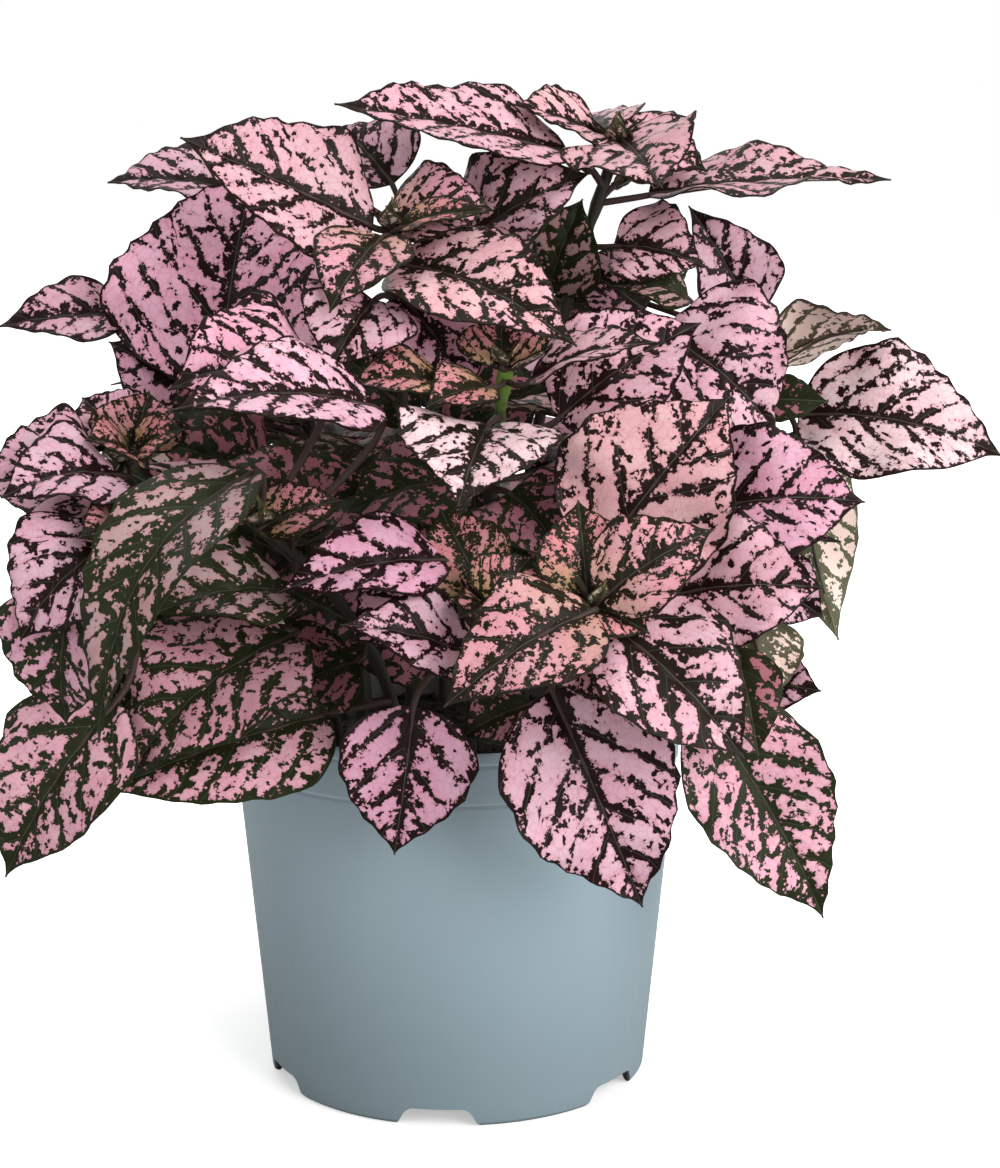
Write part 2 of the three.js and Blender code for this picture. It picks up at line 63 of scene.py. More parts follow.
# edit mode, with the parts selected whose corners all pass the test, or else with all of them
@contextmanager
def editing(piece, kind="VERT", test=None):
    makeActive(piece)
    bpy.ops.object.mode_set(mode="EDIT")
    bpy.ops.mesh.select_mode(type=kind)
    bpy.ops.mesh.select_all(action="DESELECT" if test else "SELECT")
    if test:
        bpy.ops.object.mode_set(mode="OBJECT")
        mesh = piece.data
        for part in mesh.polygons if kind == "FACE" else mesh.edges:
            part.select = test([mesh.vertices[i].co for i in part.vertices])
        bpy.ops.object.mode_set(mode="EDIT")
    yield
    bpy.ops.object.mode_set(mode="OBJECT")


def extrude(out, widen):
    bpy.ops.mesh.extrude_region_move(TRANSFORM_OT_translate={"value": (0, 0, out)})
    bpy.ops.transform.resize(value=widen)


def applyModifier(piece, kind, **settings):
    makeActive(piece)
    modifier = piece.modifiers.new(kind.title(), kind)
    for key, value in settings.items():
        setattr(modifier, key, value)
    bpy.ops.object.modifier_apply(modifier=modifier.name)


def joinPieces(pieces):
    makeActive(*pieces)
    bpy.ops.object.join()
    return pieces[0]


def applyPlace(piece):
    makeActive(piece)
    bpy.ops.object.transform_apply(location=True, rotation=True, scale=True)


def dress(piece, *materials):
    piece.data.materials.clear()
    for material in materials:
        piece.data.materials.append(material)


def finishPiece(piece, smoothAngle, slotName, *nodeNames):
    makeActive(piece)
    bpy.ops.object.shade_smooth_by_angle(angle=math.radians(smoothAngle))
    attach(piece, "root")
    if nodeNames:
        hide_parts(*nodeNames)


def readPoints(mesh):
    points = np.empty(len(mesh.vertices) * 3)
    mesh.vertices.foreach_get("co", points)
    return points.reshape(-1, 3)


def copyPiece(pattern, points):
    piece = pattern.copy()
    piece.data = pattern.data.copy()
    bpy.context.scene.collection.objects.link(piece)
    piece.data.vertices.foreach_set("co", np.ascontiguousarray(points, dtype=np.float32).ravel())
    piece.data.update()
    return piece


# a number from 0 to 1 that looks random and is the same for a seed each time
def jitter(seed):
    value = math.sin(seed * 12.9898) * 43758.5453
    return value - math.floor(value)


def unit(vector):
    return vector / np.linalg.norm(vector, axis=-1, keepdims=True)


def bezier(curve, t):
    start, bend, end = curve
    t = np.asarray(t, dtype=float)[..., None]
    return (1 - t) ** 2 * start + 2 * t * (1 - t) * bend + t ** 2 * end


def bezierWay(curve, t):
    start, bend, end = curve
    t = np.asarray(t, dtype=float)[..., None]
    return unit(2 * (1 - t) * (bend - start) + 2 * t * (end - bend))


# helpers for materials: a socket of a node tree, so that node maths is written as a formula
class Field:
    def __init__(self, socket):
        self.socket = socket
        self.tree = socket.id_data

    def beside(self, output):
        return Field(self.socket.node.outputs[output])

    def __add__(self, other):
        return maths("ADD", self, other)

    def __sub__(self, other):
        return maths("SUBTRACT", self, other)

    def __rsub__(self, other):
        return maths("SUBTRACT", other, self)

    def __mul__(self, other):
        return maths("MULTIPLY", self, other)

    def __truediv__(self, other):
        return maths("DIVIDE", self, other)

    def __abs__(self):
        return maths("ABSOLUTE", self)


# links a field to a socket, or sets the socket to a value
def feed(socket, value):
    if isinstance(value, Field):
        value.tree.links.new(value.socket, socket)
    else:
        socket.default_value = value


def addNode(kind, inputs, output=0, tree=None, **settings):
    tree = tree or next(value.tree for value in inputs.values() if isinstance(value, Field))
    node = tree.nodes.new(kind)
    for key, value in settings.items():
        setattr(node, key, value)
    for key, value in inputs.items():
        feed(node.inputs[key], value)
    return Field(node.outputs[output])


def maths(operation, *values):
    return addNode("ShaderNodeMath", dict(enumerate(values)), operation=operation)


def clamped(value):
    value.socket.node.use_clamp = True
    return value


def largest(first, *others):
    for other in others:
        first = maths("MAXIMUM", first, other)
    return first


# a smooth step between two values, which may also fall
def ramp(value, low, high, toLow=0.0, toHigh=1.0):
    places = {"Value": value, "From Min": low, "From Max": high, "To Min": toLow, "To Max": toHigh}
    return addNode("ShaderNodeMapRange", places, "Result", interpolation_type="SMOOTHSTEP")


def mixColour(share, first, second, blend="MIX"):
    colours = {0: share, 6: first, 7: second}
    return addNode("ShaderNodeMix", colours, 2, data_type="RGBA", blend_type=blend)


def noise(place, scale, detail, roughness=0.5):
    inputs = {"Vector": place, "Scale": scale, "Detail": detail, "Roughness": roughness}
    return addNode("ShaderNodeTexNoise", inputs)


def cells(place, scale, feature="F1"):
    return addNode("ShaderNodeTexVoronoi", {"Vector": place, "Scale": scale}, feature=feature)


def stretched(vector, by):
    return addNode("ShaderNodeVectorMath", {0: vector, "Scale": by}, operation="SCALE")


def lengthOf(vector):
    return addNode("ShaderNodeVectorMath", {0: vector}, "Value", operation="LENGTH")


def split(vector, kind="XYZ"):
    first = addNode("ShaderNodeSeparate" + kind, {0: vector})
    return [first.beside(i) for i in range(3)]


def combine(first, second, third, kind="XYZ"):
    return addNode("ShaderNodeCombine" + kind, {0: first, 1: second, 2: third})


def bumped(height, strength, distance):
    return addNode("ShaderNodeBump", {"Strength": strength, "Distance": distance, "Height": height})


def objectPlace(tree):
    return addNode("ShaderNodeTexCoord", {}, "Object", tree)


def attribute(tree, name):
    return addNode("ShaderNodeAttribute", {}, "Vector", tree, attribute_name=name)


def newMaterial(name):
    material = bpy.data.materials.new(name)
    material.use_nodes = True
    return material


def setShader(material, **values):
    shader = material.node_tree.nodes["Principled BSDF"]
    for key, value in values.items():
        feed(shader.inputs[key.replace("_", " ")], value)


# the last step of a skin: its colour, gloss and relief
def finishSkin(material, look, colour, relief, roughness):
    setShader(
        material,
        Base_Color=colour,
        Roughness=roughness,
        Specular_IOR_Level=look["specular"],
        Normal=bumped(relief, look["bump"], look["bumpDistance"]),
    )
    return material


# camera at the photo's angle
view = {
    "place": (0.0116, -0.665, 0.2533),
    "tilt": 79.65,
    "lens": 78.41,
    "sensor": 36.0,
    "near": 0.01,
}
cameraData = bpy.data.cameras.new("camera")
cameraData.lens = view["lens"]
cameraData.sensor_width = view["sensor"]
cameraData.clip_start = view["near"]
camera = bpy.data.objects.new("camera", cameraData)
camera.location = view["place"]
camera.rotation_euler = (math.radians(view["tilt"]), 0, 0)
bpy.context.scene.collection.objects.link(camera)
bpy.context.scene.camera = camera
bpy.context.scene.view_settings.view_transform = "Standard"

# soft studio lights: place, side in metres, watts; each looks at the middle of the plant
studio = {
    "middle": (0.0, 0.0, 0.14),
    "lamps": {
        "keyLight": ((1.05, -1.0, 0.8), 1.3, 28.0),
        "fillLight": ((-1.1, -1.2, 0.5), 1.4, 9.8),
        "sideLight": ((1.5, 0.1, 0.3), 1.0, 9.0),
        "topLight": ((-0.15, 0.1, 1.5), 1.1, 8.0),
        "backLight": ((-0.5, 1.3, 0.7), 1.4, 8.0),
    },
    "roomLight": 0.28,
    "backdropLight": 1.0,
}
for lampName, (lampPlace, lampSide, lampWatts) in studio["lamps"].items():
    lampData = bpy.data.lights.new(lampName, "AREA")
    lampData.size = lampSide
    lampData.energy = lampWatts
    lamp = bpy.data.objects.new(lampName, lampData)
    lamp.location = lampPlace
    lamp.rotation_mode = "QUATERNION"
    lookWay = Vector(studio["middle"]) - Vector(lampPlace)
    lamp.rotation_quaternion = lookWay.to_track_quat("-Z", "Y")
    bpy.context.scene.collection.objects.link(lamp)

# the room lights the plant softly, and is white where the camera sees it
room = bpy.data.worlds.new("room")
bpy.context.scene.world = room
room.use_nodes = True
background = room.node_tree.nodes["Background"]
seen = addNode("ShaderNodeLightPath", {}, "Is Camera Ray", room.node_tree)
strengths = {"Value": seen, "To Min": studio["roomLight"], "To Max": studio["backdropLight"]}
feed(background.inputs["Color"], (1, 1, 1, 1))
feed(background.inputs["Strength"], addNode("ShaderNodeMapRange", strengths))
print("camera and lights set")


# the marks of a polka dot leaf, in millimetres on the blade: dark bands along the veins that swell
# and break off, streaks and blots beside them, a dark margin and small light flecks in the dark;
# each noise is its scale, detail and roughness, and each pair is where a mark starts and is full
marks = {
    "spacing": 10.6,
    "softness": 0.1,
    "youngFiner": 0.9,
    "tear": 7.4,
    "tearNoise": (0.6, 5.0, 0.7),
    "lobe": 3.4,
    "lobeNoise": (0.36, 1.0),
    "wander": 6.0,
    "wanderNoise": (0.15, 2.0),
    "midWidth": 0.9,
    "midSwell": 1.7,
    "midWander": 0.6,
    "veinWidth": 1.5,
    "veinTaper": 0.9,
    "veinBreak": 1.05,
    "veinBend": 0.12,
    "streakNoise": (0.24, 3.0, 0.55),
    "streakLeast": 0.665,
    "streakGain": 17.0,
    "streakTear": 0.5,
    "blotNoise": (0.34, 3.0, 0.6),
    "blotLeast": 0.597,
    "blotGain": 12.0,
    "marginWidth": 0.85,
    "marginReach": 4.0,
    "marginGain": 0.6,
    "marginWander": 0.5,
    "marginTear": 0.6,
    "rim": (0.55, 0.3),
    "fringe": (-1.3, 0.1),
    "fleckScale": 0.62,
    "fleckShare": 0.42,
    "fleckSize": (0.42, 0.252),
    "fleckFromMidrib": (0.5, 1.4),
    "fleckFromMargin": (0.5, 0.9),
    "midLine": (0.176, 0.066),
    "sideLine": (0.165, 0.044),
    "sideLineShare": 0.7,
    "cloudNoise": (0.11, 2.0),
    "netScale": 0.42,
    "netWidth": (0.075, 0.0225),
    "puckerNoise": (1.6, 2.0),
    "puckerRise": 0.5,
    "sunkWidth": 0.9,
    "sunkRise": 0.6,
}


def buildMarks():
    tree = bpy.data.node_groups.new("leafMarks", "ShaderNodeTree")
    for name in ("Place", "Vein", "Kind"):
        tree.interface.new_socket(name=name, in_out="INPUT", socket_type="NodeSocketVector")
    for name in ("Dark", "Fringe", "Line", "Net", "Cloud", "Relief"):
        tree.interface.new_socket(name=name, in_out="OUTPUT", socket_type="NodeSocketFloat")
    place = addNode("NodeGroupInput", {}, "Place", tree)
    x, _, apart = split(place)
    side, along, phase = split(place.beside("Vein"))
    darker, youth, halfWidth = split(place.beside("Kind"))
    across = abs(x)
    edgeGap = (1.0 - side) * halfWidth

    # young leaves have finer marks
    finer = youth * marks["youngFiner"] + 1.0
    scaled = stretched(place, finer)
    drift = noise(scaled, *marks["wanderNoise"]).beside("Color")
    wander = [(part - 0.5) * marks["wander"] for part in split(drift, "Color")]
    ragged = noise(scaled, *marks["tearNoise"])
    lobes = noise(scaled, *marks["lobeNoise"])
    tear = (lobes - 0.5) * marks["lobe"] + (ragged - 0.5) * marks["tear"]

    # the midrib's band narrows to the tip; the side veins' bands swell and break off to the margin
    midWidth = (1.0 - along) * marks["midSwell"] + marks["midWidth"] + wander[0] * marks["midWander"]
    midField = midWidth - across + tear
    veinGap = maths("PINGPONG", wander[2] * marks["veinBend"] + phase, 0.5) * marks["spacing"]
    veinWidth = side * -marks["veinTaper"] + marks["veinWidth"] + wander[1] * marks["veinBreak"]
    veinField = veinWidth - veinGap + tear

    # streaks that lie along the side veins, and blots
    streakPlace = stretched(combine(phase * marks["spacing"], across, apart), finer)
    streak = noise(streakPlace, *marks["streakNoise"])
    streakField = (streak - marks["streakLeast"]) * marks["streakGain"] + tear * marks["streakTear"]
    blot = noise(scaled, *marks["blotNoise"])
    blotField = (blot - marks["blotLeast"]) * marks["blotGain"]

    marginField = marks["marginWidth"] - edgeGap + wander[2] * marks["marginWander"]
    marginField = marginField + tear * marks["marginTear"]
    nearMargin = ramp(edgeGap, marks["marginReach"], 0.0, 0.0, marks["marginGain"])
    field = largest(midField, veinField, streakField, blotField) + nearMargin + darker
    field = largest(field, marginField)
    dark = largest(ramp(field, -marks["softness"], marks["softness"]), ramp(edgeGap, *marks["rim"]))

    # light flecks in the dark, away from the midrib and the margin
    fleckCell = cells(scaled, marks["fleckScale"])
    fleck = ramp(fleckCell / marks["fleckScale"], *marks["fleckSize"])
    picked = split(fleckCell.beside("Color"), "Color")[0]
    fleck = fleck * maths("GREATER_THAN", picked, marks["fleckShare"])
    fleck = fleck * ramp(across, *marks["fleckFromMidrib"]) * ramp(edgeGap, *marks["fleckFromMargin"])

    # fine vein lines and a finer net, and a skin that is puckered and sunk along the lines
    lineGap = maths("PINGPONG", phase, 0.5) * marks["spacing"]
    sideLine = ramp(lineGap, *marks["sideLine"]) * marks["sideLineShare"]
    netGap = cells(place, marks["netScale"], "DISTANCE_TO_EDGE")
    pucker = noise(place, *marks["puckerNoise"]) * marks["puckerRise"]
    given = {
        "Dark": clamped(dark - fleck),
        "Fringe": ramp(field, *marks["fringe"]),
        "Line": largest(ramp(across, *marks["midLine"]), sideLine),
        "Net": ramp(netGap, *marks["netWidth"]),
        "Cloud": noise(place, *marks["cloudNoise"]),
        "Relief": ramp(lineGap, 0.0, marks["sunkWidth"]) * marks["sunkRise"] + pucker,
    }
    end = tree.nodes.new("NodeGroupOutput")
    for name, value in given.items():
        feed(end.inputs[name], value)
    return tree


leafMarks = buildMarks()


# the marks on a leaf, by the attributes of its blade
def foundMarks(tree):
    inputs = {name: attribute(tree, "leaf" + name) for name in ("Place", "Vein", "Kind")}
    node = tree.nodes.new("ShaderNodeGroup")
    node.node_tree = leafMarks
    for name, value in inputs.items():
        feed(node.inputs[name], value)
    return {socket.name: Field(socket) for socket in node.outputs}


# the upper face: pink patches in a near-black green net
upperFace = {
    "black": (0.013, 0.004, 0.004, 1),
    "green": (0.017, 0.021, 0.007, 1),
    "greenGain": 1.2,
    "fringe": (0.42, 0.13, 0.16, 1),
    "fringeShare": 0.3,
    "deeper": (0.98, 0.72, 0.80, 1),
    "deeperReach": (0.66, 0.34, 0.0, 0.5),
    "net": 0.2,
    "oldGold": (0.33, 0.27, 0.08, 1),
    "goldReach": (0.5, 0.05),
    "goldShare": 0.7,
    "midLine": (0.085, 0.095, 0.070, 1),
    "lineInPink": 0.3,
    "lineInDark": 0.7,
    "roughness": 0.5,
    "darkGloss": -0.08,
    "specular": 0.1,
    "bump": 0.35,
    "bumpDistance": 0.00035,
}


def buildUpperFace():
    material = newMaterial("leafUpper")
    tree = material.node_tree
    found = foundMarks(tree)
    tone = attribute(tree, "leafTone").beside("Color")
    darker, youth, _ = split(attribute(tree, "leafKind"))
    along = split(attribute(tree, "leafVein"))[1]
    deeper = mixColour(1.0, tone, upperFace["deeper"], "MULTIPLY")
    pink = mixColour(ramp(found["Cloud"], *upperFace["deeperReach"]), tone, deeper)
    pink = mixColour(found["Net"] * upperFace["net"], pink, upperFace["fringe"])
    pink = mixColour(found["Fringe"] * upperFace["fringeShare"], pink, upperFace["fringe"])
    gold = youth * ramp(along, *upperFace["goldReach"])
    pink = mixColour(gold * upperFace["goldShare"], pink, upperFace["oldGold"])
    pink = mixColour(found["Line"] * upperFace["lineInPink"], pink, upperFace["fringe"])
    greener = clamped(darker * upperFace["greenGain"] + tone.beside("Alpha"))
    dark = mixColour(greener, upperFace["black"], upperFace["green"])
    dark = mixColour(found["Line"] * upperFace["lineInDark"], dark, upperFace["midLine"])
    colour = mixColour(found["Dark"], pink, dark)
    roughness = found["Dark"] * upperFace["darkGloss"] + upperFace["roughness"]
    return finishSkin(material, upperFace, colour, found["Relief"], roughness)


# the underside: the same net, pale and dull, with raised brown-green veins
underFace = {
    "patch": (0.88, 0.70, 0.59, 1),
    "patchShare": 0.78,
    "net": (0.055, 0.048, 0.022, 1),
    "greenNet": (0.045, 0.062, 0.018, 1),
    "netShare": 0.97,
    "line": (0.20, 0.14, 0.07, 1),
    "lineShare": 0.8,
    "roughness": 0.55,
    "specular": 0.25,
    "bump": 0.5,
    "bumpDistance": 0.00035,
}


def buildUnderFace():
    material = newMaterial("leafUnder")
    tree = material.node_tree
    found = foundMarks(tree)
    tone = attribute(tree, "leafTone").beside("Color")
    patch = mixColour(underFace["patchShare"], tone, underFace["patch"])
    net = mixColour(tone.beside("Alpha"), underFace["net"], underFace["greenNet"])
    colour = mixColour(found["Dark"] * underFace["netShare"], patch, net)
    colour = mixColour(found["Line"] * underFace["lineShare"], colour, underFace["line"])
    return finishSkin(material, underFace, colour, 1.0 - found["Relief"], underFace["roughness"])


# stems and leaf stalks: dark brown-grey below, green towards the young tips
stemSkin = {
    "old": (0.030, 0.026, 0.020, 1),
    "young": (0.15, 0.26, 0.05, 1),
    "youngReach": (0.96, 1.12),
    "stalk": (0.060, 0.035, 0.030, 1),
    "mottleNoise": (1.1, 3.0, 0.6),
    "mottleShare": 0.2,
    "roughness": 0.55,
    "specular": 0.22,
    "bump": 0.3,
    "bumpDistance": 0.0003,
}


def buildStemSkin():
    material = newMaterial("stemSkin")
    tree = material.node_tree
    height, stalkShare, _ = split(attribute(tree, "leafKind"))
    place = attribute(tree, "leafPlace")
    mottle = noise(place, *stemSkin["mottleNoise"])
    rise = height + (mottle - 0.5) * stemSkin["mottleShare"]
    colour = mixColour(ramp(rise, *stemSkin["youngReach"]), stemSkin["old"], stemSkin["young"])
    colour = mixColour(stalkShare, colour, stemSkin["stalk"])
    return finishSkin(material, stemSkin, colour, mottle, stemSkin["roughness"])


leafMaterials = [buildUpperFace(), buildUnderFace(), buildStemSkin()]
print("leaf materials made")


# the pot: one moulded piece, in millimetres as the solids have it
pot = {
    "height": 100.0,
    "rimRadius": 60.0,
    "footRadius": 50.7,
    "wall": 1.4,
    "lipHeight": 2.9,
    "lipProud": 0.5,
    "bandHeight": 13.1,
    "bandStep": 0.3,
    "lipStep": 0.3,
    "taperTop": 59.0,
    "floorRaise": 5.6,
    "footWidth": 1.9,
    "footSlope": 1.0,
    "footRound": 1.0,
    "padRadius": 18.0,
    "padSlope": 2.0,
    "sides": 128,
    "edgeWidth": 0.22,
    "edgeSteps": 2,
    "edgeAngle": 28,
    "smoothAngle": 32,
    "notches": 6,
    "notchWidth": 20.0,
    "notchTop": 16.0,
    "notchFlare": 1.13,
    "notchBelow": 1.5,
    "notchHeight": 4.8,
    "notchDepth": 12.8,
    "notchCorner": 1.8,
    "notchSteps": 5,
    "notchClear": 1.0,
    "notchTurn": -5.0,
    "drainHoles": 6,
    "drainRadius": 4.0,
    "drainRing": 34.0,
    "drainSides": 32,
    "drainReach": 4,
}
bandLow = pot["height"] - pot["bandHeight"]
lipLow = pot["height"] - pot["lipHeight"]


def potRings():
    floorTop = pot["floorRaise"] + pot["wall"]
    footInside = pot["footRadius"] - pot["footWidth"]
    bandRadius = pot["rimRadius"] - pot["lipProud"]
    padTop = pot["padRadius"] + pot["wall"] / 2
    # a ring over the notches keeps their corners from creasing the wall above
    ringHigh = pot["notchHeight"] + pot["notchClear"]
    climb = (ringHigh - pot["footRound"]) / (bandLow - pot["footRound"])
    ringRadius = pot["footRadius"] + climb * (pot["taperTop"] - pot["footRadius"])
    return [
        (pot["padRadius"], 0),
        (pot["padRadius"] + pot["padSlope"], pot["floorRaise"]),
        (footInside - pot["footSlope"], pot["floorRaise"]),
        (footInside, 0),
        (pot["footRadius"] - pot["footRound"], 0),
        (pot["footRadius"], pot["footRound"]),
        (ringRadius, ringHigh),
        (pot["taperTop"], bandLow),
        (bandRadius, bandLow + pot["bandStep"]),
        (bandRadius, lipLow),
        (pot["rimRadius"], lipLow + pot["lipStep"]),
        (pot["rimRadius"], pot["height"]),
        (bandRadius - pot["wall"], pot["height"]),
        (pot["footRadius"] - pot["wall"], floorTop),
        (padTop + pot["padSlope"], floorTop),
        (padTop, pot["wall"]),
    ]


# a round body, extruded from ring to ring
def extrudeRings(name, rings, sides):
    radius, height = rings[0]
    piece = startPiece(name, bpy.ops.mesh.primitive_circle_add, vertices=sides, radius=radius * mm,
                       fill_type="NGON", location=(0, 0, height * mm))
    with editing(piece):
        for nextRadius, nextHeight in rings[1:]:
            grow = nextRadius / radius
            extrude((nextHeight - height) * mm, (grow, grow, 1))
            radius, height = nextRadius, nextHeight
        bpy.ops.mesh.select_all(action="SELECT")
        bpy.ops.mesh.normals_make_consistent(inside=False)
    applyPlace(piece)
    return piece


def turned(points, degrees):
    angle = math.radians(degrees)
    x, y, z = points.T
    return np.stack([
        x * math.cos(angle) - y * math.sin(angle),
        x * math.sin(angle) + y * math.cos(angle),
        z,
    ], axis=1)


# a cutter like an arch, out from the axis over the pot's foot at -Y: its sides lean in to the top,
# and its lower corners are turned out
def notchCutter():
    low = pot["footRound"]
    middle = (low + pot["notchHeight"]) / 2 * mm
    size = (pot["notchWidth"] * mm, pot["notchDepth"] * mm, (pot["notchHeight"] - low) * mm)
    cutter = startPiece("notchCutter", bpy.ops.mesh.primitive_cube_add, size=1, scale=size,
                        location=(0, -pot["footRadius"] * mm, middle))
    applyPlace(cutter)

    def isHigh(corners):
        return all(corner.z > middle for corner in corners)

    def isLow(corners):
        return all(corner.z < middle for corner in corners)

    def isTopSide(corners):
        return isHigh(corners) and abs(corners[0].x - corners[1].x) < mm

    with editing(cutter, "FACE", isHigh):
        bpy.ops.transform.resize(value=(pot["notchTop"] / pot["notchWidth"], 1, 1))
    with editing(cutter, "FACE", isLow):
        extrude(-pot["notchBelow"] * low * mm, (pot["notchFlare"], 1, 1))
    with editing(cutter, "EDGE", isTopSide):
        bpy.ops.mesh.bevel(offset=pot["notchCorner"] * mm, segments=pot["notchSteps"], affect="EDGES")
    return cutter


def drainCutter():
    depth = pot["drainReach"] * pot["floorRaise"] * mm
    return startPiece("drainCutter", bpy.ops.mesh.primitive_cylinder_add, vertices=pot["drainSides"],
                      radius=pot["drainRadius"] * mm, depth=depth)


def aroundPot(pattern, count, firstTurn, outwards):
    points = readPoints(pattern.data) + np.array([outwards * mm, 0, 0])
    copies = [copyPiece(pattern, turned(points, firstTurn + 360 * i / count)) for i in range(count)]
    bpy.data.objects.remove(pattern)
    return copies


# the pot's plastic: dusty, darker low down as painted shade, pale along the edges of band, lip and
# rim from wear and a painted highlight, dark in the crease under band and lip and on the inner wall
# over the soil as painted shade; a reach is where an effect starts and is full, and its share at both
potSkin = {
    "colour": (0.315, 0.415, 0.465, 1),
    "dust": (0.35, 0.44, 0.485, 1),
    "dustNoise": (26.0, 3.0),
    "dustReach": (0.38, 0.68, 0.0, 0.3),
    "flow": (60, 60, 9),
    "flowNoise": (2.0, 2.0),
    "flowShare": 0.4,
    "lowShade": (0.0, 0.085, 0.62, 1.0),
    "wear": (0.52, 0.60, 0.635, 1),
    "paleEdgeWidth": 0.45,
    "paleEdgeAbove": 0.15,
    "paleEdgeReach": (0.3, 0.6, 0.35, 0.75),
    "paintedCreaseShade": (0.17, 0.235, 0.27, 1),
    "creaseBelow": 0.95,
    "creaseShare": 0.5,
    "paintedInsideShade": (0.022, 0.018, 0.015, 1),
    "insideShadeDepth": (0.0005, 0.001),
    "insideShadeHeight": (0.0993, 0.095),
    "insideShadeReach": (0.1, 0.5, 0.75, 0.97),
    "scuffNoise": (11.0, 4.0, 0.7),
    "scuffReach": (0.45, 0.75, 0.44, 0.58),
    "grainNoise": (1500.0, 2.0),
    "specular": 0.42,
    "bump": 0.12,
    "bumpDistance": 0.0001,
}


# a soft line round the pot at a height
def edgeLine(height, middle, width):
    return ramp(abs(height - middle * mm), width * mm, 0.0)


def buildPotPlastic():
    material = newMaterial("potPlastic")
    place = objectPlace(material.node_tree)
    x, y, height = split(place)
    cloud = noise(place, *potSkin["dustNoise"])
    flow = addNode("ShaderNodeMapping", {"Vector": place, "Scale": potSkin["flow"]})
    streak = noise(flow, *potSkin["flowNoise"])
    dust = ramp(streak * potSkin["flowShare"] + cloud * (1 - potSkin["flowShare"]), *potSkin["dustReach"])
    # painted shade: the plastic is darker low down
    low = ramp(height, *potSkin["lowShade"])
    colour = mixColour(dust, potSkin["colour"], potSkin["dust"])
    colour = mixColour(1.0, colour, combine(low, low, low, "Color"), "MULTIPLY")
    # pale lines along the edges of band, lip and rim, uneven: in part wear, in part a painted highlight
    paleEdgePatches = ramp(streak, *potSkin["paleEdgeReach"])
    for edge in (bandLow + pot["bandStep"], lipLow + pot["lipStep"], pot["height"]):
        wear = edgeLine(height, edge + potSkin["paleEdgeAbove"], potSkin["paleEdgeWidth"])
        colour = mixColour(wear * paleEdgePatches, colour, potSkin["wear"])
    # painted shade: a dark line just under the band and the lip, where each step shades the wall
    for edge in (bandLow, lipLow):
        paintedCreaseShade = edgeLine(height, edge - potSkin["creaseBelow"] / 2, potSkin["creaseBelow"])
        colour = mixColour(paintedCreaseShade * potSkin["creaseShare"], colour, potSkin["paintedCreaseShade"])
    # painted shade: the inner wall over the soil darkened in patches
    slope = (pot["taperTop"] - pot["footRadius"]) / bandLow
    depth = height * slope + pot["footRadius"] * mm - lengthOf(combine(x, y, 0.0))
    paintedInsideShade = ramp(depth, *potSkin["insideShadeDepth"]) * ramp(height, *potSkin["insideShadeHeight"])
    colour = mixColour(paintedInsideShade * ramp(cloud, *potSkin["insideShadeReach"]), colour, potSkin["paintedInsideShade"])
    scuff = noise(flow, *potSkin["scuffNoise"])
    grain = noise(place, *potSkin["grainNoise"])
    return finishSkin(material, potSkin, colour, grain, ramp(scuff, *potSkin["scuffReach"]))


def buildPot():
    piece = extrudeRings("plantPot", potRings(), pot["sides"])
    applyModifier(piece, "BEVEL", width=pot["edgeWidth"] * mm, segments=pot["edgeSteps"],
                  limit_method="ANGLE", angle_limit=math.radians(pot["edgeAngle"]))
    cutters = aroundPot(notchCutter(), pot["notches"], pot["notchTurn"], 0)
    cutters += aroundPot(drainCutter(), pot["drainHoles"], 0, pot["drainRing"])
    cutter = joinPieces(cutters)
    applyModifier(piece, "BOOLEAN", object=cutter, operation="DIFFERENCE", solver="EXACT")
    bpy.data.objects.remove(cutter)
    dress(piece, buildPotPlastic())
    finishPiece(piece, pot["smoothAngle"], "pot_plastic", "pot")


buildPot()
print("pot built")


# the soil: dark peat with a low crown, lumps and loose crumbs
soil = {
    "top": 89.0,
    "bottom": 7.3,
    "gap": 0.3,
    "crown": 2.0,
    "sides": 144,
    "rings": 34,
    "ringWidth": 1.6,
    "stillRim": 0.5,
    "nearTop": 1,
    "lumpHeight": 2.4,
    "lumpSize": 0.0045,
    "lumpDetail": 3,
    "smoothAngle": 50,
    "crumbs": 300,
    "crumbLeast": 0.6,
    "crumbMost": 2.1,
    "crumbUneven": 0.3,
    "crumbSeed": 3,
    "draws": (0.1, 0.3, 0.5, 0.7, 0.9, 0.2),
    "crumbLeastWide": 0.6,
    "crumbHigh": 0.7,
    "crumbRise": 0.9,
    "crumbFromWall": 2.5,
    "crumbAngle": 40,
}


def potInside(height):
    floorTop = pot["floorRaise"] + pot["wall"]
    share = (height - floorTop) / (pot["height"] - floorTop)
    footInside = pot["footRadius"] - pot["wall"]
    rimInside = pot["rimRadius"] - pot["lipProud"] - pot["wall"]
    return footInside + share * (rimInside - footInside)


def soilHeight(radius):
    outer = potInside(soil["top"])
    return soil["top"] + soil["crown"] * (1 - np.minimum(radius / outer, 1) ** 2)


peat = {
    "colour": (0.013, 0.009, 0.007, 1),
    "fibre": (0.065, 0.040, 0.024, 1),
    "fibreReach": (0.55, 0.75, 0.0, 0.8),
    "grainNoise": (700.0, 5.0, 0.7),
    "lumpScale": 420.0,
    "lumpShare": 0.5,
    "dampNoise": (60.0, 2.0),
    "dampReach": (0.35, 0.65, 0.55, 0.95),
    "specular": 0.3,
    "bump": 0.9,
    "bumpDistance": 0.0012,
}


def buildPeat():
    material = newMaterial("darkPeat")
    place = objectPlace(material.node_tree)
    grain = noise(place, *peat["grainNoise"])
    lumps = cells(place, peat["lumpScale"])
    colour = mixColour(ramp(grain, *peat["fibreReach"]), peat["colour"], peat["fibre"])
    damp = ramp(noise(place, *peat["dampNoise"]), *peat["dampReach"])
    return finishSkin(material, peat, colour, grain - lumps * peat["lumpShare"], damp)


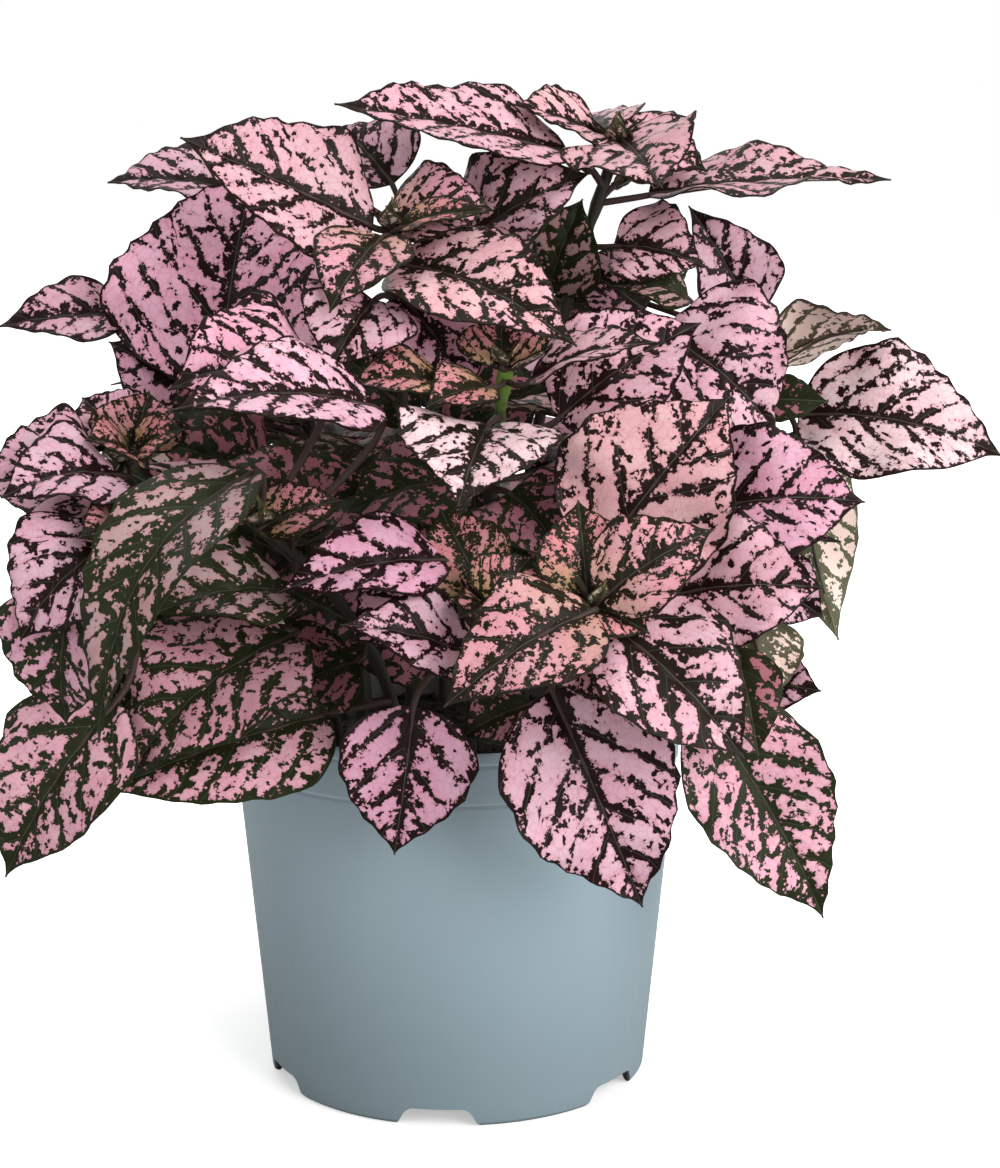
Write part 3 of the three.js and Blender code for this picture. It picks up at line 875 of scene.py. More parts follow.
def buildSoil(material):
    outer = potInside(soil["top"]) - soil["gap"]
    rings = [(potInside(soil["bottom"]) - soil["gap"], soil["bottom"]), (outer, soil["top"])]
    piece = extrudeRings("pottingSoil", rings, soil["sides"])
    nearTop = (soil["top"] - soil["nearTop"]) * mm
    with editing(piece, "FACE", lambda corners: all(corner.z > nearTop for corner in corners)):
        for _ in range(soil["rings"]):
            bpy.ops.mesh.inset(thickness=soil["ringWidth"] * mm)
    loose = piece.vertex_groups.new(name="loose")
    for vertex in piece.data.vertices:
        radius = math.hypot(vertex.co.x, vertex.co.y) / mm
        if vertex.co.z > nearTop:
            vertex.co.z = soilHeight(radius) * mm
            if radius < outer - soil["stillRim"]:
                loose.add([vertex.index], 1, "REPLACE")
    lumps = bpy.data.textures.new("lumps", "CLOUDS")
    lumps.noise_scale = soil["lumpSize"]
    lumps.noise_depth = soil["lumpDetail"]
    applyModifier(piece, "DISPLACE", texture=lumps, strength=soil["lumpHeight"] * mm, direction="Z",
                  texture_coords="LOCAL", vertex_group="loose")
    dress(piece, material)
    finishPiece(piece, soil["smoothAngle"], "potting_soil", "soil")


def scatterCrumbs(material):
    pattern = startPiece("crumb", bpy.ops.mesh.primitive_ico_sphere_add, subdivisions=1, radius=1)
    with editing(pattern):
        bpy.ops.transform.vertex_random(offset=soil["crumbUneven"], seed=soil["crumbSeed"])
    dress(pattern, material)
    shape = readPoints(pattern.data)
    widest = potInside(soil["top"]) - soil["gap"] - soil["crumbFromWall"]
    crumbs = []
    for i in range(soil["crumbs"]):
        grown, out, around, turn, wide, turnMore = [jitter(i + share) for share in soil["draws"]]
        size = soil["crumbLeast"] + (soil["crumbMost"] - soil["crumbLeast"]) * grown ** 2
        width = soil["crumbLeastWide"] + (1 - soil["crumbLeastWide"]) * wide
        radius = widest * math.sqrt(out)
        angle = 2 * math.pi * around
        height = soilHeight(radius) + soil["crumbRise"]
        middle = (radius * math.cos(angle), radius * math.sin(angle), height)
        lump = turned(shape, 360 * turn) * (1, width, soil["crumbHigh"]) * size
        crumbs.append(copyPiece(pattern, (turned(lump, 360 * turnMore) + middle) * mm))
    bpy.data.objects.remove(pattern)
    loosePeat = joinPieces(crumbs)
    loosePeat.name = "looseCrumbs"
    finishPiece(loosePeat, soil["crumbAngle"], "potting_soil")


darkPeat = buildPeat()
buildSoil(darkPeat)
scatterCrumbs(darkPeat)
print("soil built")


# stems and leaves, by stem and in millimetres, as the solids have them: where a stem leaves the
# soil, its apex, the shares of its height that carry pairs of leaves by the rule, and the leaves
# set one by one: base, tip, width, the way its face looks, arch and tone
leafyStems = {
    "right_front": {
        "foot": [24, -26], "apex": [33, -84, 141], "nodes": [0.5],
        "leaves": [
            [[24, -76, 120], [46, -74, 66], 42, [0, -10, 3], 6, "rose"],
            [[37, -86, 138], [68, -94, 108], 36, [0, -10, 9], 5, "rose"],
            [[33, -90, 142], [-1, -106, 123], 30, [0, -10, 9], 5, "fresh"],
            [[29, -88, 138], [37, -100, 120], 26, [0, -10, 6], 3, "fresh"],
            [[35, -86, 144], [61, -84, 160], 26, [0, -10, 9], 3, "fresh"],
            [[32, -86, 144], [30, -80, 165], 22, [0, -10, 3], 2, "young"],
            [[32, -88, 142], [46, -100, 137], 18, [0, -10, 8], 2, "young"],
            [[19, -64, 114], [2, -66, 106], 18, [0, -9, 8], 2, "shade"],
        ],
    },
    "mid_front": {
        "foot": [4, -36], "apex": [8, -74, 140], "nodes": [0.5],
        "leaves": [
            [[-9, -70, 115], [-14, -70, 78], 33, [1, -10, 4], 3, "mauve"],
            [[-2, -68, 150], [-40, -84, 145], 26, [0, -8, 10], 4, "mauve"],
            [[7, -78, 128], [-25, -92, 139], 24, [0, -9, 10], 3, "rose"],
            [[-3, -62, 139], [-24, -72, 131], 28, [0, -10, 9], 3, "rose"],
            [[10, -78, 141], [19, -74, 152], 20, [0, -10, 5], 2, "young"],
            [[9, -80, 141], [2, -90, 140], 12, [0, -8, 10], 1, "young"],
            [[8, -74, 142], [-3, -66, 161], 22, [0, -10, 4], 2, "young"],
            [[2, -50, 142], [-20, -54, 154], 28, [0, -9, 9], 3, "shade"],
        ],
    },
    "left_front": {
        "foot": [-30, -26], "apex": [-77, -76, 155], "nodes": [0.6, 0.85],
        "leaves": [
            [[-79, -78, 118], [-106, -82, 76], 36, [-3, -10, 5], 5, "green"],
            [[-79, -80, 156], [-99, -90, 135], 34, [-3, -10, 6], 5, "rose"],
            [[-87, -86, 147], [-90, -84, 114], 32, [-4, -10, 3], 4, "green"],
            [[-39, -62, 130], [-77, -88, 100], 44, [-2, -9, 9], 8, "low"],
            [[-75, -80, 157], [-85, -90, 159], 18, [0, -8, 10], 2, "young"],
            [[-74, -77, 157], [-70, -74, 165], 18, [0, -10, 7], 2, "young"],
        ],
    },
    "mid_left": {
        "foot": [-14, -34], "apex": [-46, -66, 158], "nodes": [0.5, 0.8],
        "leaves": [
            [[-46, -74, 172], [-79, -106, 115], 32, [-5, -8, 5], 16, "dusk"],
            [[-30, -64, 112], [-83, -88, 99], 38, [0, -10, 7], 4, "green"],
            [[-32, -50, 193], [-66, -72, 191], 38, [0, -9, 9], 6, "mauve"],
            [[-18, -58, 183], [-62, -84, 183], 32, [0, -8, 10], 5, "rose"],
            [[-39, -64, 142], [-70, -80, 139], 28, [0, -8, 10], 4, "dusk"],
            [[-24, -54, 124], [-50, -64, 115], 28, [0, -9, 9], 3, "shade"],
            [[-45, -70, 158], [-26, -66, 164], 18, [0, -8, 10], 2, "young"],
            [[-46, -70, 159], [-48, -60, 164], 16, [0, -10, 5], 1, "young"],
            [[-36, -56, 160], [-62, -56, 167], 26, [0, -8, 10], 3, "shade"],
        ],
    },
    "left": {
        "foot": [-32, -6], "apex": [-80, -50, 171], "nodes": [0.5, 0.8],
        "leaves": [
            [[-84, -58, 168], [-112, -66, 168], 36, [0, -9, 9], 2, "rose"],
            [[-79, -64, 169], [-104, -78, 165], 28, [0, -8, 10], 4, "rose"],
            [[-80, -48, 176], [-91, -42, 186], 20, [0, -10, 7], 2, "rose"],
            [[-77, -48, 174], [-74, -42, 188], 24, [0, -10, 5], 2, "young"],
            [[-77, -58, 173], [-86, -70, 179], 18, [0, -8, 10], 2, "young"],
            [[-76, -56, 173], [-64, -62, 178], 16, [0, -8, 10], 2, "young"],
            [[-42, -26, 143], [-64, -40, 156], 30, [0, -10, 5], 3, "shade"],
            [[-26, -24, 126], [-48, -36, 140], 32, [0, -10, 5], 3, "shade"],
            [[-72, -58, 121], [-86, -64, 104], 26, [-2, -10, 3], 2, "dusk"],
            [[-8, -28, 123], [-29, -42, 118], 30, [0, -10, 5], 2, "shade"],
        ],
    },
    "centre": {
        "foot": [6, -18], "apex": [13, -45, 193], "nodes": [0.45, 0.7],
        "leaves": [
            [[9, -56, 181], [2, -88, 166], 40, [0, -7, 10], 3, "pale"],
            [[26, -44, 181], [61, -38, 204], 36, [0, -10, 9], 4, "rose"],
            [[19, -52, 191], [49, -60, 201], 22, [0, -4, 10], 3, "salmon"],
            [[9, -56, 190], [-6, -66, 186], 18, [0, -6, 10], 2, "young"],
            [[12, -46, 194], [12, -38, 205], 22, [0, -10, 3], 2, "young"],
            [[-3, -58, 189], [-25, -66, 186], 18, [0, -6, 10], 3, "young"],
            [[4, -44, 166], [-26, -50, 158], 34, [0, -8, 10], 3, "shade"],
            [[14, -40, 162], [28, -58, 148], 32, [0, -9, 8], 3, "shade"],
        ],
    },
    "right_mid": {
        "foot": [30, -10], "apex": [56, -28, 176], "nodes": [0.45, 0.7, 0.92],
        "leaves": [
            [[36, -62, 150], [67, -56, 188], 46, [0, -10, 6], 5, "salmon"],
            [[52, -22, 200], [81, -30, 176], 46, [0, -10, 7], 6, "rose"],
            [[61, -44, 158], [101, -48, 161], 38, [1, -10, 6], 6, "mauve"],
            [[53, -60, 140], [89, -66, 143], 38, [0, -10, 7], 4, "rose"],
            [[69, -56, 126], [74, -68, 102], 18, [2, -10, 4], 2, "shade"],
            [[60, -8, 208], [40, -10, 211], 20, [0, -7, 10], 3, "dusk"],
        ],
    },
    "tall_left": {
        "foot": [-12, -4], "apex": [-15, -25, 226], "nodes": [0.35, 0.55, 0.75],
        "leaves": [
            [[-20, -28, 227], [-65, -46, 249], 38, [0, -10, 8], 1, "salmon"],
            [[-14, -28, 228], [10, -28, 231], 27, [0, -9, 10], 4, "fresh"],
            [[-17, -34, 225], [-29, -54, 208], 24, [-2, -10, 7], 3, "fresh"],
            [[-13, -34, 227], [9, -42, 231], 14, [0, -6, 10], 2, "young"],
            [[-14, -32, 220], [30, -58, 204], 34, [0, -9, 10], 6, "salmon"],
            [[1, -13, 221], [34, -19, 240], 36, [0, -9, 9], 3, "rose"],
            [[-19, -46, 210], [-29, -62, 194], 30, [0, -10, 7], 3, "rose"],
            [[-13, -34, 210], [4, -42, 186], 36, [2, -10, 6], 4, "mauve"],
            [[4, -2, 217], [21, -12, 208], 28, [0, -10, 8], 3, "dusk"],
            [[-20, -44, 166], [-46, -56, 157], 30, [0, -8, 10], 3, "shade"],
            [[-17, 2, 181], [-35, -8, 198], 30, [0, -10, 4], 3, "shade"],
        ],
    },
    "tall_right": {
        "foot": [14, 8], "apex": [42, 0, 247], "nodes": [0.35, 0.55],
        "leaves": [
            [[29, -8, 244], [-29, -30, 255], 36, [0, -6, 10], 1, "rose"],
            [[50, 0, 234], [112, -4, 238], 36, [0, -3, 10], 2, "salmon"],
            [[43, -4, 248], [51, -40, 237], 35, [-3, -5, 10], 2, "salmon"],
            [[38, 2, 247], [15, -10, 253], 25, [0, -6, 10], 1, "salmon"],
            [[39, 0, 251], [65, -14, 246], 28, [0, -6, 10], 2, "salmon"],
            [[39, 4, 250], [33, 34, 252], 26, [0, -6, 10], 1, "salmon"],
            [[41, -2, 221], [64, -8, 216], 28, [0, -9, 8], 3, "rose"],
            [[24, 6, 209], [33, 2, 233], 26, [-2, -10, 3], 2, "dusk"],
        ],
    },
    "right": {
        "foot": [36, 4], "apex": [84, 8, 190], "nodes": [0.35, 0.55, 0.75, 0.93],
        "leaves": [
            [[91, 8, 176], [144, 0, 166], 43, [1, -10, 8], 7, "pale"],
            [[85, 10, 189], [114, 2, 199], 34, [0, 5, 10], 4, "rose"],
            [[91, 14, 171], [103, 8, 115], 34, [-3, 10, -1], 5, "green"],
            [[62, -44, 109], [94, -42, 53], 37, [1, -10, 5], 7, "green"],
            [[76, -24, 126], [81, -34, 108], 24, [0, 10, -2], 2, "shade"],
            [[77, -20, 108], [94, -28, 109], 20, [0, -9, 8], 2, "rose"],
            [[80, 0, 133], [97, -6, 124], 22, [0, -10, 5], 2, "rose"],
        ],
    },
    "back_left": {
        "foot": [-26, 14], "apex": [-56, 22, 208], "nodes": [0.35, 0.52, 0.7, 0.9],
        "leaves": [
            [[-61, -14, 185], [-52, 4, 242], 62, [-1, -10, 4], 4, "lilac"],
            [[-59, 12, 235], [-91, 4, 237], 30, [0, -5, 10], 2, "rose"],
            [[-85, -2, 203], [-117, -12, 201], 23, [0, -8, 10], 2, "rose"],
            [[-16, -6, 237], [-31, 10, 251], 28, [0, -10, 8], 3, "rose"],
            [[-50, -8, 161], [-76, -24, 173], 34, [0, -10, 5], 3, "shade"],
            [[-65, -10, 182], [-89, -18, 197], 28, [-2, -10, 4], 3, "mauve"],
        ],
    },
    "back_right": {
        "foot": [18, 26], "apex": [56, 38, 212], "nodes": [0.35, 0.52, 0.7, 0.9],
        "leaves": [
            [[80, 24, 200], [61, 8, 231], 26, [2, -10, 2], 3, "rose"],
            [[49, 12, 204], [29, 10, 215], 26, [0, -10, 7], 3, "rose"],
            [[26, 68, 114], [34, 92, 78], 36, [1, 10, 5], 6, "rose"],
        ],
    },
    "back": {
        "foot": [-4, 34], "apex": [-10, 66, 198], "nodes": [0.35, 0.52, 0.7, 0.9],
        "leaves": [
            [[-6, 70, 118], [-4, 94, 80], 38, [0, 10, 5], 6, "rose"],
            [[-12, 74, 190], [-14, 110, 178], 40, [0, 5, 10], 5, "rose"],
            [[0, 6, 170], [24, -4, 186], 32, [0, -10, 4], 3, "shade"],
        ],
    },
    "low_back_left": {
        "foot": [-26, 32], "apex": [-60, 56, 166], "nodes": [0.4, 0.6, 0.8, 0.96],
        "leaves": [
            [[-38, 58, 114], [-52, 82, 76], 38, [-5, 10, 5], 6, "rose"],
            [[-60, 28, 120], [-90, 38, 88], 36, [-10, 3, 5], 6, "mauve"],
            [[-66, 62, 162], [-90, 78, 146], 38, [-5, 5, 10], 5, "rose"],
            [[-52, 62, 164], [-44, 92, 158], 32, [-1, 6, 10], 4, "salmon"],
        ],
    },
    "low_back_right": {
        "foot": [26, 34], "apex": [58, 62, 168], "nodes": [0.4, 0.6, 0.8, 0.96],
        "leaves": [
            [[44, 56, 114], [62, 80, 78], 38, [5, 10, 5], 6, "rose"],
            [[60, 68, 162], [78, 88, 146], 38, [5, 5, 10], 5, "rose"],
            [[66, 56, 166], [98, 60, 156], 34, [6, 2, 10], 4, "mauve"],
        ],
    },
}

# tones: pink between the veins, how far the dark marks are grown in mm, youth, green in the dark;
# the tones shade and inner are darker copies of the pinks and of young, and low of green, as painted
# shade for leaves that lie in shadow
tones = {
    "rose": ((0.66, 0.425, 0.495), 0.06, 0.0, 0.0),
    "salmon": ((0.67, 0.425, 0.445), 0.1, 0.0, 0.05),
    "mauve": ((0.685, 0.385, 0.490), -0.06, 0.0, 0.0),
    "lilac": ((0.80, 0.45, 0.565), -0.06, 0.0, 0.0),
    "pale": ((0.76, 0.605, 0.63), 0.05, 0.0, 0.0),
    "green": ((0.70, 0.41, 0.49), 0.38, 0.0, 0.8),
    "low": ((0.55, 0.31, 0.365), 0.42, 0.0, 0.8),
    "dusk": ((0.42, 0.30, 0.30), 0.6, 0.0, 0.55),
    "shade": ((0.36, 0.16, 0.20), 0.65, 0.0, 0.2),
    "fresh": ((0.61, 0.335, 0.375), 0.2, 0.5, 0.15),
    "young": ((0.60, 0.27, 0.28), 0.25, 1.0, 0.3),
    "tip": ((0.70, 0.43, 0.34), -0.9, 1.0, 0.9),
    "inner": ((0.42, 0.17, 0.20), 0.45, 0.7, 0.3),
}
ruleTones = ["rose", "mauve", "salmon", "shade", "rose", "mauve"]

# the shape of a leaf, as in the solids
leaf = {
    "baseFullness": 0.6,
    "tipTaper": 1.15,
    "fold": 0.2,
    "scallop": 0.06,
    "ruffle": 0.035,
    "tipHalf": 0.5,
    "thick": 0.8,
    "stalkBend": 0.35,
    "stalkLowest": 8,
    "stalkMarks": 40,
    "stalkClimb": 0.5,
    "seat": 0.1,
    "shiftSteps": (4, 8, 12, 16, 20),
}
stations = [
    (42, [0.03, 0.19, 0.36, 0.56, 0.78, 1]),
    (35, [0.03, 0.22, 0.46, 0.72, 1]),
    (26, [0.03, 0.28, 0.62, 1]),
    (0, [0.04, 0.36, 1]),
]

# what is finer than the solids, in the order of use: the blade's grid and outline, its side veins,
# the quilted swell between them, the groove over the midrib, the wavy margin, and the stalk
fine = {
    "grid": (16, 40),
    "youngGrid": (8, 20),
    "crowdAcross": 1.2,
    "crowdAlong": 0.5,
    "thick": 0.36,
    "tipHalf": 0.22,
    "scallop": 0.02,
    "drawn": 0.4,
    "drawnReach": 0.14,
    "foldCurl": 0.5,
    "veinSweep": 0.8,
    "veinCurl": 0.32,
    "veinStagger": 0.42,
    "veinsLeast": 4,
    "veinsMost": 8,
    "lobes": 0.024,
    "teeth": 0.005,
    "teethPerLobe": 3,
    "quilt": 0.55,
    "quiltWidth": 34,
    "quiltFromMargin": 4,
    "quiltHalf": 5,
    "groove": 0.35,
    "grooveWidth": 1.1,
    "grooveHalf": 3,
    "margin": 0.034,
    "marginHalf": 4,
    "ripple": 0.35,
    "rippleShift": 0.4,
    "wave": 0.75,
    "waves": 2.1,
    "waveStagger": 0.37,
    "stalkTop": 0.85,
    "stalkFoot": 1.15,
    "stalkEnd": 0.22,
    "stalkSlim": 0.55,
    "stalkFull": 80,
    "stalkLook": (0.35, 0.8, 0.0),
    "ribTop": 0.8,
    "ribEnd": 0.78,
    "ribSunk": 0.25,
    "ribReach": 0.08,
    "tubeSides": 8,
    "stalkRings": 16,
    "stemRings": 32,
    "smoothAngle": 60,
}

# how the leaves differ: what is added to a leaf's seed for each draw, the spread of its tone, how
# far apart the leaves lie in the noise, and how the marks lie round and along a stalk or stem
draws = {"phase": 0.15, "ripple": 0.25, "shade": 0.35, "warm": 0.45, "dark": 0.55, "wave": 0.65}
spread = {"leastShade": 0.93, "shade": 0.14, "warm": 0.03, "dark": 0.3}
marksApart = 37.0
tubeMarks = (1.5, 0.4)

# stems, and the small leaves at each growing tip
stem = {
    "radius": 1.7,
    "topRadius": 1.15,
    "upright": 0.5,
    "collar": 3.0,
    "steps": 4,
    "samples": 201,
    "buried": 6.0,
    "knot": 0.55,
    "knotLength": 2.0,
    "knotMost": 1.3,
    "tipPairs": 3,
    "tipLength": 12.5,
    "tipShorter": 0.72,
    "tipWidth": 0.54,
    "tipArch": -0.06,
    "tipRise": 26.0,
    "tipRiseMore": 17.0,
    "tipRiseSpread": 10,
    "tipTurnSpread": 0.4,
    "tipSeed": 0.6,
    "oppositeSeed": 5,
    "tipOut": 1.2,
    "tipStep": 0.8,
    "green": ["centre", "right_front"],
    "greener": 1.14,
}

# side shoots in the leaf axils: where along a stem, how far out and up, their leaves and the room
# that each needs
shoots = {
    "lowest": 0.2,
    "highest": 0.93,
    "out": 3.5,
    "up": 3.5,
    "pairs": 2,
    "longest": 15.0,
    "shorter": 0.35,
    "seed": 0.7,
    "seedStep": 3,
    "room": 2.2,
}
# points across and along a blade, and along a stem, by which the room is measured
roomPoints = {"grown": (9, 18), "young": (5, 7), "stem": 60, "from": 0.05}

# small inner leaves that close the view through the bush: from base to tip, by stem
inner = {
    "width": 0.72,
    "face": (0.1, -1.0, 0.5),
    "arch": 0.05,
    "leaves": {
        "left": [[[-79, -38, 136], [-66, -34, 123]], [[-77, -14, 155], [-91, -9, 169]],
                 [[-70, -34, 182], [-53, -30, 182]]],
        "centre": [[[5, -14, 147], [5, -19, 167]], [[14, -10, 139], [24, -14, 149]]],
        "right": [[[78, -10, 182], [96, -14, 182]]],
        "right_front": [[[38, -31, 126], [18, -33, 145]]],
        "back_left": [[[-18, 18, 155], [-32, 23, 169]], [[-42, 26, 145], [-42, 31, 126]]],
        "back_right": [[[41, 26, 204], [23, 22, 204]]],
        "back": [[[-10, 30, 175], [-27, 34, 175]], [[0, 38, 171], [-10, 34, 180]]],
    },
}

# pairs of leaves by the rule, and the room that the crown of such leaves has
pairs = {
    "length": 46,
    "lengthLeast": 0.85,
    "lengthSpread": 0.3,
    "shorterAbove": 0.6,
    "shorterBy": 12,
    "stalk": 0.32,
    "reach": 1.3,
    "width": 0.8,
    "arch": 0.09,
    "turnStart": 0.5,
    "turnSpread": 0.7,
    "riseLow": -5,
    "riseGain": 30,
    "riseSpread": 20,
    "tipDrop": 6,
    "lengthSeed": 500,
    "riseSeed": 900,
    "toneSeed": 0.5,
}
crown = {"front": -40, "back": 112, "side": 104, "middle": -4, "top": 206, "slope": 0.2, "low": 88}


def outline(s):
    return s ** leaf["baseFullness"] * (1 - s) ** leaf["tipTaper"]


def halfWidth(s):
    widest = leaf["baseFullness"] / (leaf["baseFullness"] + leaf["tipTaper"])
    return outline(np.clip(s, 0, 1)) / outline(widest)


def smoothStep(value):
    value = np.clip(value, 0, 1)
    return value * value * (3 - 2 * value)


def lengthsAlong(path):
    return np.concatenate([[0], np.cumsum(np.linalg.norm(np.diff(path, axis=0), axis=1))])


def stemCurve(row):
    start = np.array([*row["foot"], soil["top"] + stem["collar"]])
    end = np.array(row["apex"], dtype=float)
    return start, start + (0, 0, stem["upright"] * (end[2] - start[2])), end


# the points that part a stem into equal steps
def stemSteps(row):
    shares = np.linspace(0, 1, stem["samples"])
    lengths = lengthsAlong(bezier(stemCurve(row), shares))
    equal = np.interp(np.linspace(0, lengths[-1], stem["steps"] + 1), lengths, shares)
    return bezier(stemCurve(row), equal)


def stemPoint(steps, share):
    at = share * stem["steps"]
    i = min(int(at), stem["steps"] - 1)
    return steps[i] + (steps[i + 1] - steps[i]) * (at - i)


# where on its stem a leaf's stalk starts, as in the solids
def rootShare(steps, base):
    best = (math.inf, 0)
    for i in range(leaf["stalkLowest"], leaf["stalkMarks"] + 1):
        point = stemPoint(steps, i / leaf["stalkMarks"])
        sideways = math.hypot(point[0] - base[0], point[1] - base[1])
        below = base - (0, 0, leaf["stalkClimb"] * sideways)
        best = min(best, (round(float(np.linalg.norm(point - below)), 9), i))
    return best[1] / leaf["stalkMarks"]


def planLeaf(base, tip, width, face, arch, tone, root, share=0.0):
    base, tip, face = (np.array(point, dtype=float) for point in (base, tip, face))
    return {"base": base, "tip": tip, "width": width, "face": face, "arch": arch, "tone": tone,
            "root": root, "share": share}


def rowLeaf(steps, base, *rest):
    share = rootShare(steps, np.array(base, dtype=float))
    return planLeaf(base, *rest, stemPoint(steps, share), share)


def ruleLeaf(row, steps, share, node, opposite, seed):
    lean = math.atan2(row["apex"][1] - row["foot"][1], row["apex"][0] - row["foot"][0])
    turn = lean + math.pi * opposite + math.pi / 2 * (node % 2) + pairs["turnStart"]
    turn += pairs["turnSpread"] * (jitter(seed) - 0.5)
    shorter = pairs["shorterBy"] * max(0, share - pairs["shorterAbove"])
    sized = pairs["lengthLeast"] + pairs["lengthSpread"] * jitter(seed + pairs["lengthSeed"])
    length = (pairs["length"] - shorter) * sized
    lift = pairs["riseSpread"] * (jitter(seed + pairs["riseSeed"]) - 0.5)
    rise = math.radians(pairs["riseLow"] + pairs["riseGain"] * share + lift)
    way = np.array([math.cos(turn) * math.cos(rise), math.sin(turn) * math.cos(rise), math.sin(rise)])
    root = stemPoint(steps, share)
    tip = root + way * pairs["reach"] * length - (0, 0, pairs["tipDrop"])
    sideways = abs(tip[0] - crown["middle"])
    if tip[2] > crown["top"] - crown["slope"] * sideways or tip[2] < crown["low"]:
        return None
    if tip[1] < crown["front"] or tip[1] > crown["back"] or sideways > crown["side"]:
        return None
    base = root + way * pairs["stalk"] * length
    width = pairs["width"] * length
    tone = ruleTones[int(jitter(seed + pairs["toneSeed"]) * len(ruleTones))]
    return planLeaf(base, tip, width, (0, 0, 1), pairs["arch"] * length, tone, root, share)


# a leaf bent aside: its base by half the shift and its tip by all of it
def bentLeaf(plan, shift=np.zeros(3)):
    base = plan["base"] + 0.5 * shift
    tip = plan["tip"] + shift
    run = unit(tip - base)
    up = unit(plan["face"] - run * plan["face"].dot(run))
    bend = (base + tip) / 2 + up * 2 * plan["arch"]
    return {**plan, "base": base, "tip": tip, "curve": (base, bend, tip), "side": np.cross(run, up)}


def innerLeaf(steps, base, tip):
    length = math.dist(base, tip)
    return bentLeaf(rowLeaf(steps, base, tip, inner["width"] * length, inner["face"],
                            inner["arch"] * length, "shade"))


def leafStations(bent):
    return np.array(next(at for least, at in stations if bent["width"] >= least))


# points along the middle of a blade, and the way up from it there
def bladeFrame(bent, s):
    return bezier(bent["curve"], s), unit(np.cross(bent["side"], bezierWay(bent["curve"], s)))


# the corners of the leaf's blade in the solids
def solidCorners(bent):
    at = leafStations(bent)
    wave = np.where(np.arange(len(at)) % 2, 1, -1)
    wide = halfWidth(at) * bent["width"] / 2
    half = np.maximum(wide * (1 + leaf["scallop"] * wave), leaf["tipHalf"])
    middle, up = bladeFrame(bent, at)
    corners = []
    for across in (-1, 0, 1):
        for face in (-1, 1):
            lift = abs(across) * half * leaf["fold"] + across * 2 * wide * leaf["ruffle"] * wave
            lift = lift + face * leaf["thick"] / 2
            corners.append(middle + across * half[:, None] * bent["side"] + lift[:, None] * up)
    return np.concatenate(corners)


# the shifts that the solids try in turn, so that no leaf crosses another
def shiftOrder():
    order = [(0, 0, 0)]
    for step in leaf["shiftSteps"]:
        half = step / 2
        order += [(0, step, 0), (0, -step, 0), (0, 0, -half), (0, 0, half)]
        order += [(0, step, half), (0, step, -half), (0, -step, half), (0, -step, -half)]
    return [np.array(shift, dtype=float) for shift in order]


shifts = shiftOrder()


def pointTree(points):
    tree = KDTree(len(points))
    for i, point in enumerate(points):
        tree.insert(point, i)
    tree.balance()
    return tree


# a leaf as it is in its stem's solid, or nothing where the solid had no room for it
def seatedLeaf(plan, tree):
    for shift in shifts:
        bent = bentLeaf(plan, shift)
        gaps = [tree.find(corner)[2] for corner in solidCorners(bent)]
        if np.median(gaps) < leaf["seat"]:
            return bent
    return None


# patterns that are modelled once, a flat blade and a straight tube, and copied for every leaf
def buildBladePattern(across, along):
    pattern = startPiece("blade", bpy.ops.mesh.primitive_grid_add, x_subdivisions=across,
                         y_subdivisions=along, size=2)
    dress(pattern, *leafMaterials)
    points = readPoints(pattern.data)
    u = np.sign(points[:, 0]) * np.abs(points[:, 0]) ** fine["crowdAcross"]
    t = (points[:, 1] + 1) / 2
    s = t + fine["crowdAlong"] * (0.5 - 0.5 * np.cos(np.pi * t) - t)
    return pattern, u, s


def buildTubePattern(name, rings):
    pattern = extrudeRings(name, [(1, i) for i in range(rings)], fine["tubeSides"])
    dress(pattern, *leafMaterials)
    pattern.data.polygons.foreach_set("material_index", [2] * len(pattern.data.polygons))
    points = readPoints(pattern.data) / mm
    return pattern, np.rint(points[:, 2]).astype(int), np.arctan2(points[:, 1], points[:, 0])


bladePattern = buildBladePattern(*fine["grid"])
youngPattern = buildBladePattern(*fine["youngGrid"])
stalkPattern = buildTubePattern("stalk", fine["stalkRings"])
stemPattern = buildTubePattern("stem", fine["stemRings"])


# the attributes that the leaf materials read, from columns of values
def writeMarks(mesh, **layers):
    for name, columns in layers.items():
        kind, field = ("FLOAT_COLOR", "color") if len(columns) == 4 else ("FLOAT_VECTOR", "vector")
        values = np.stack([np.broadcast_to(column, len(mesh.vertices)) for column in columns], axis=1)
        layer = mesh.attributes.new(name, kind, "POINT")
        layer.data.foreach_set(field, values.astype(np.float32).ravel())


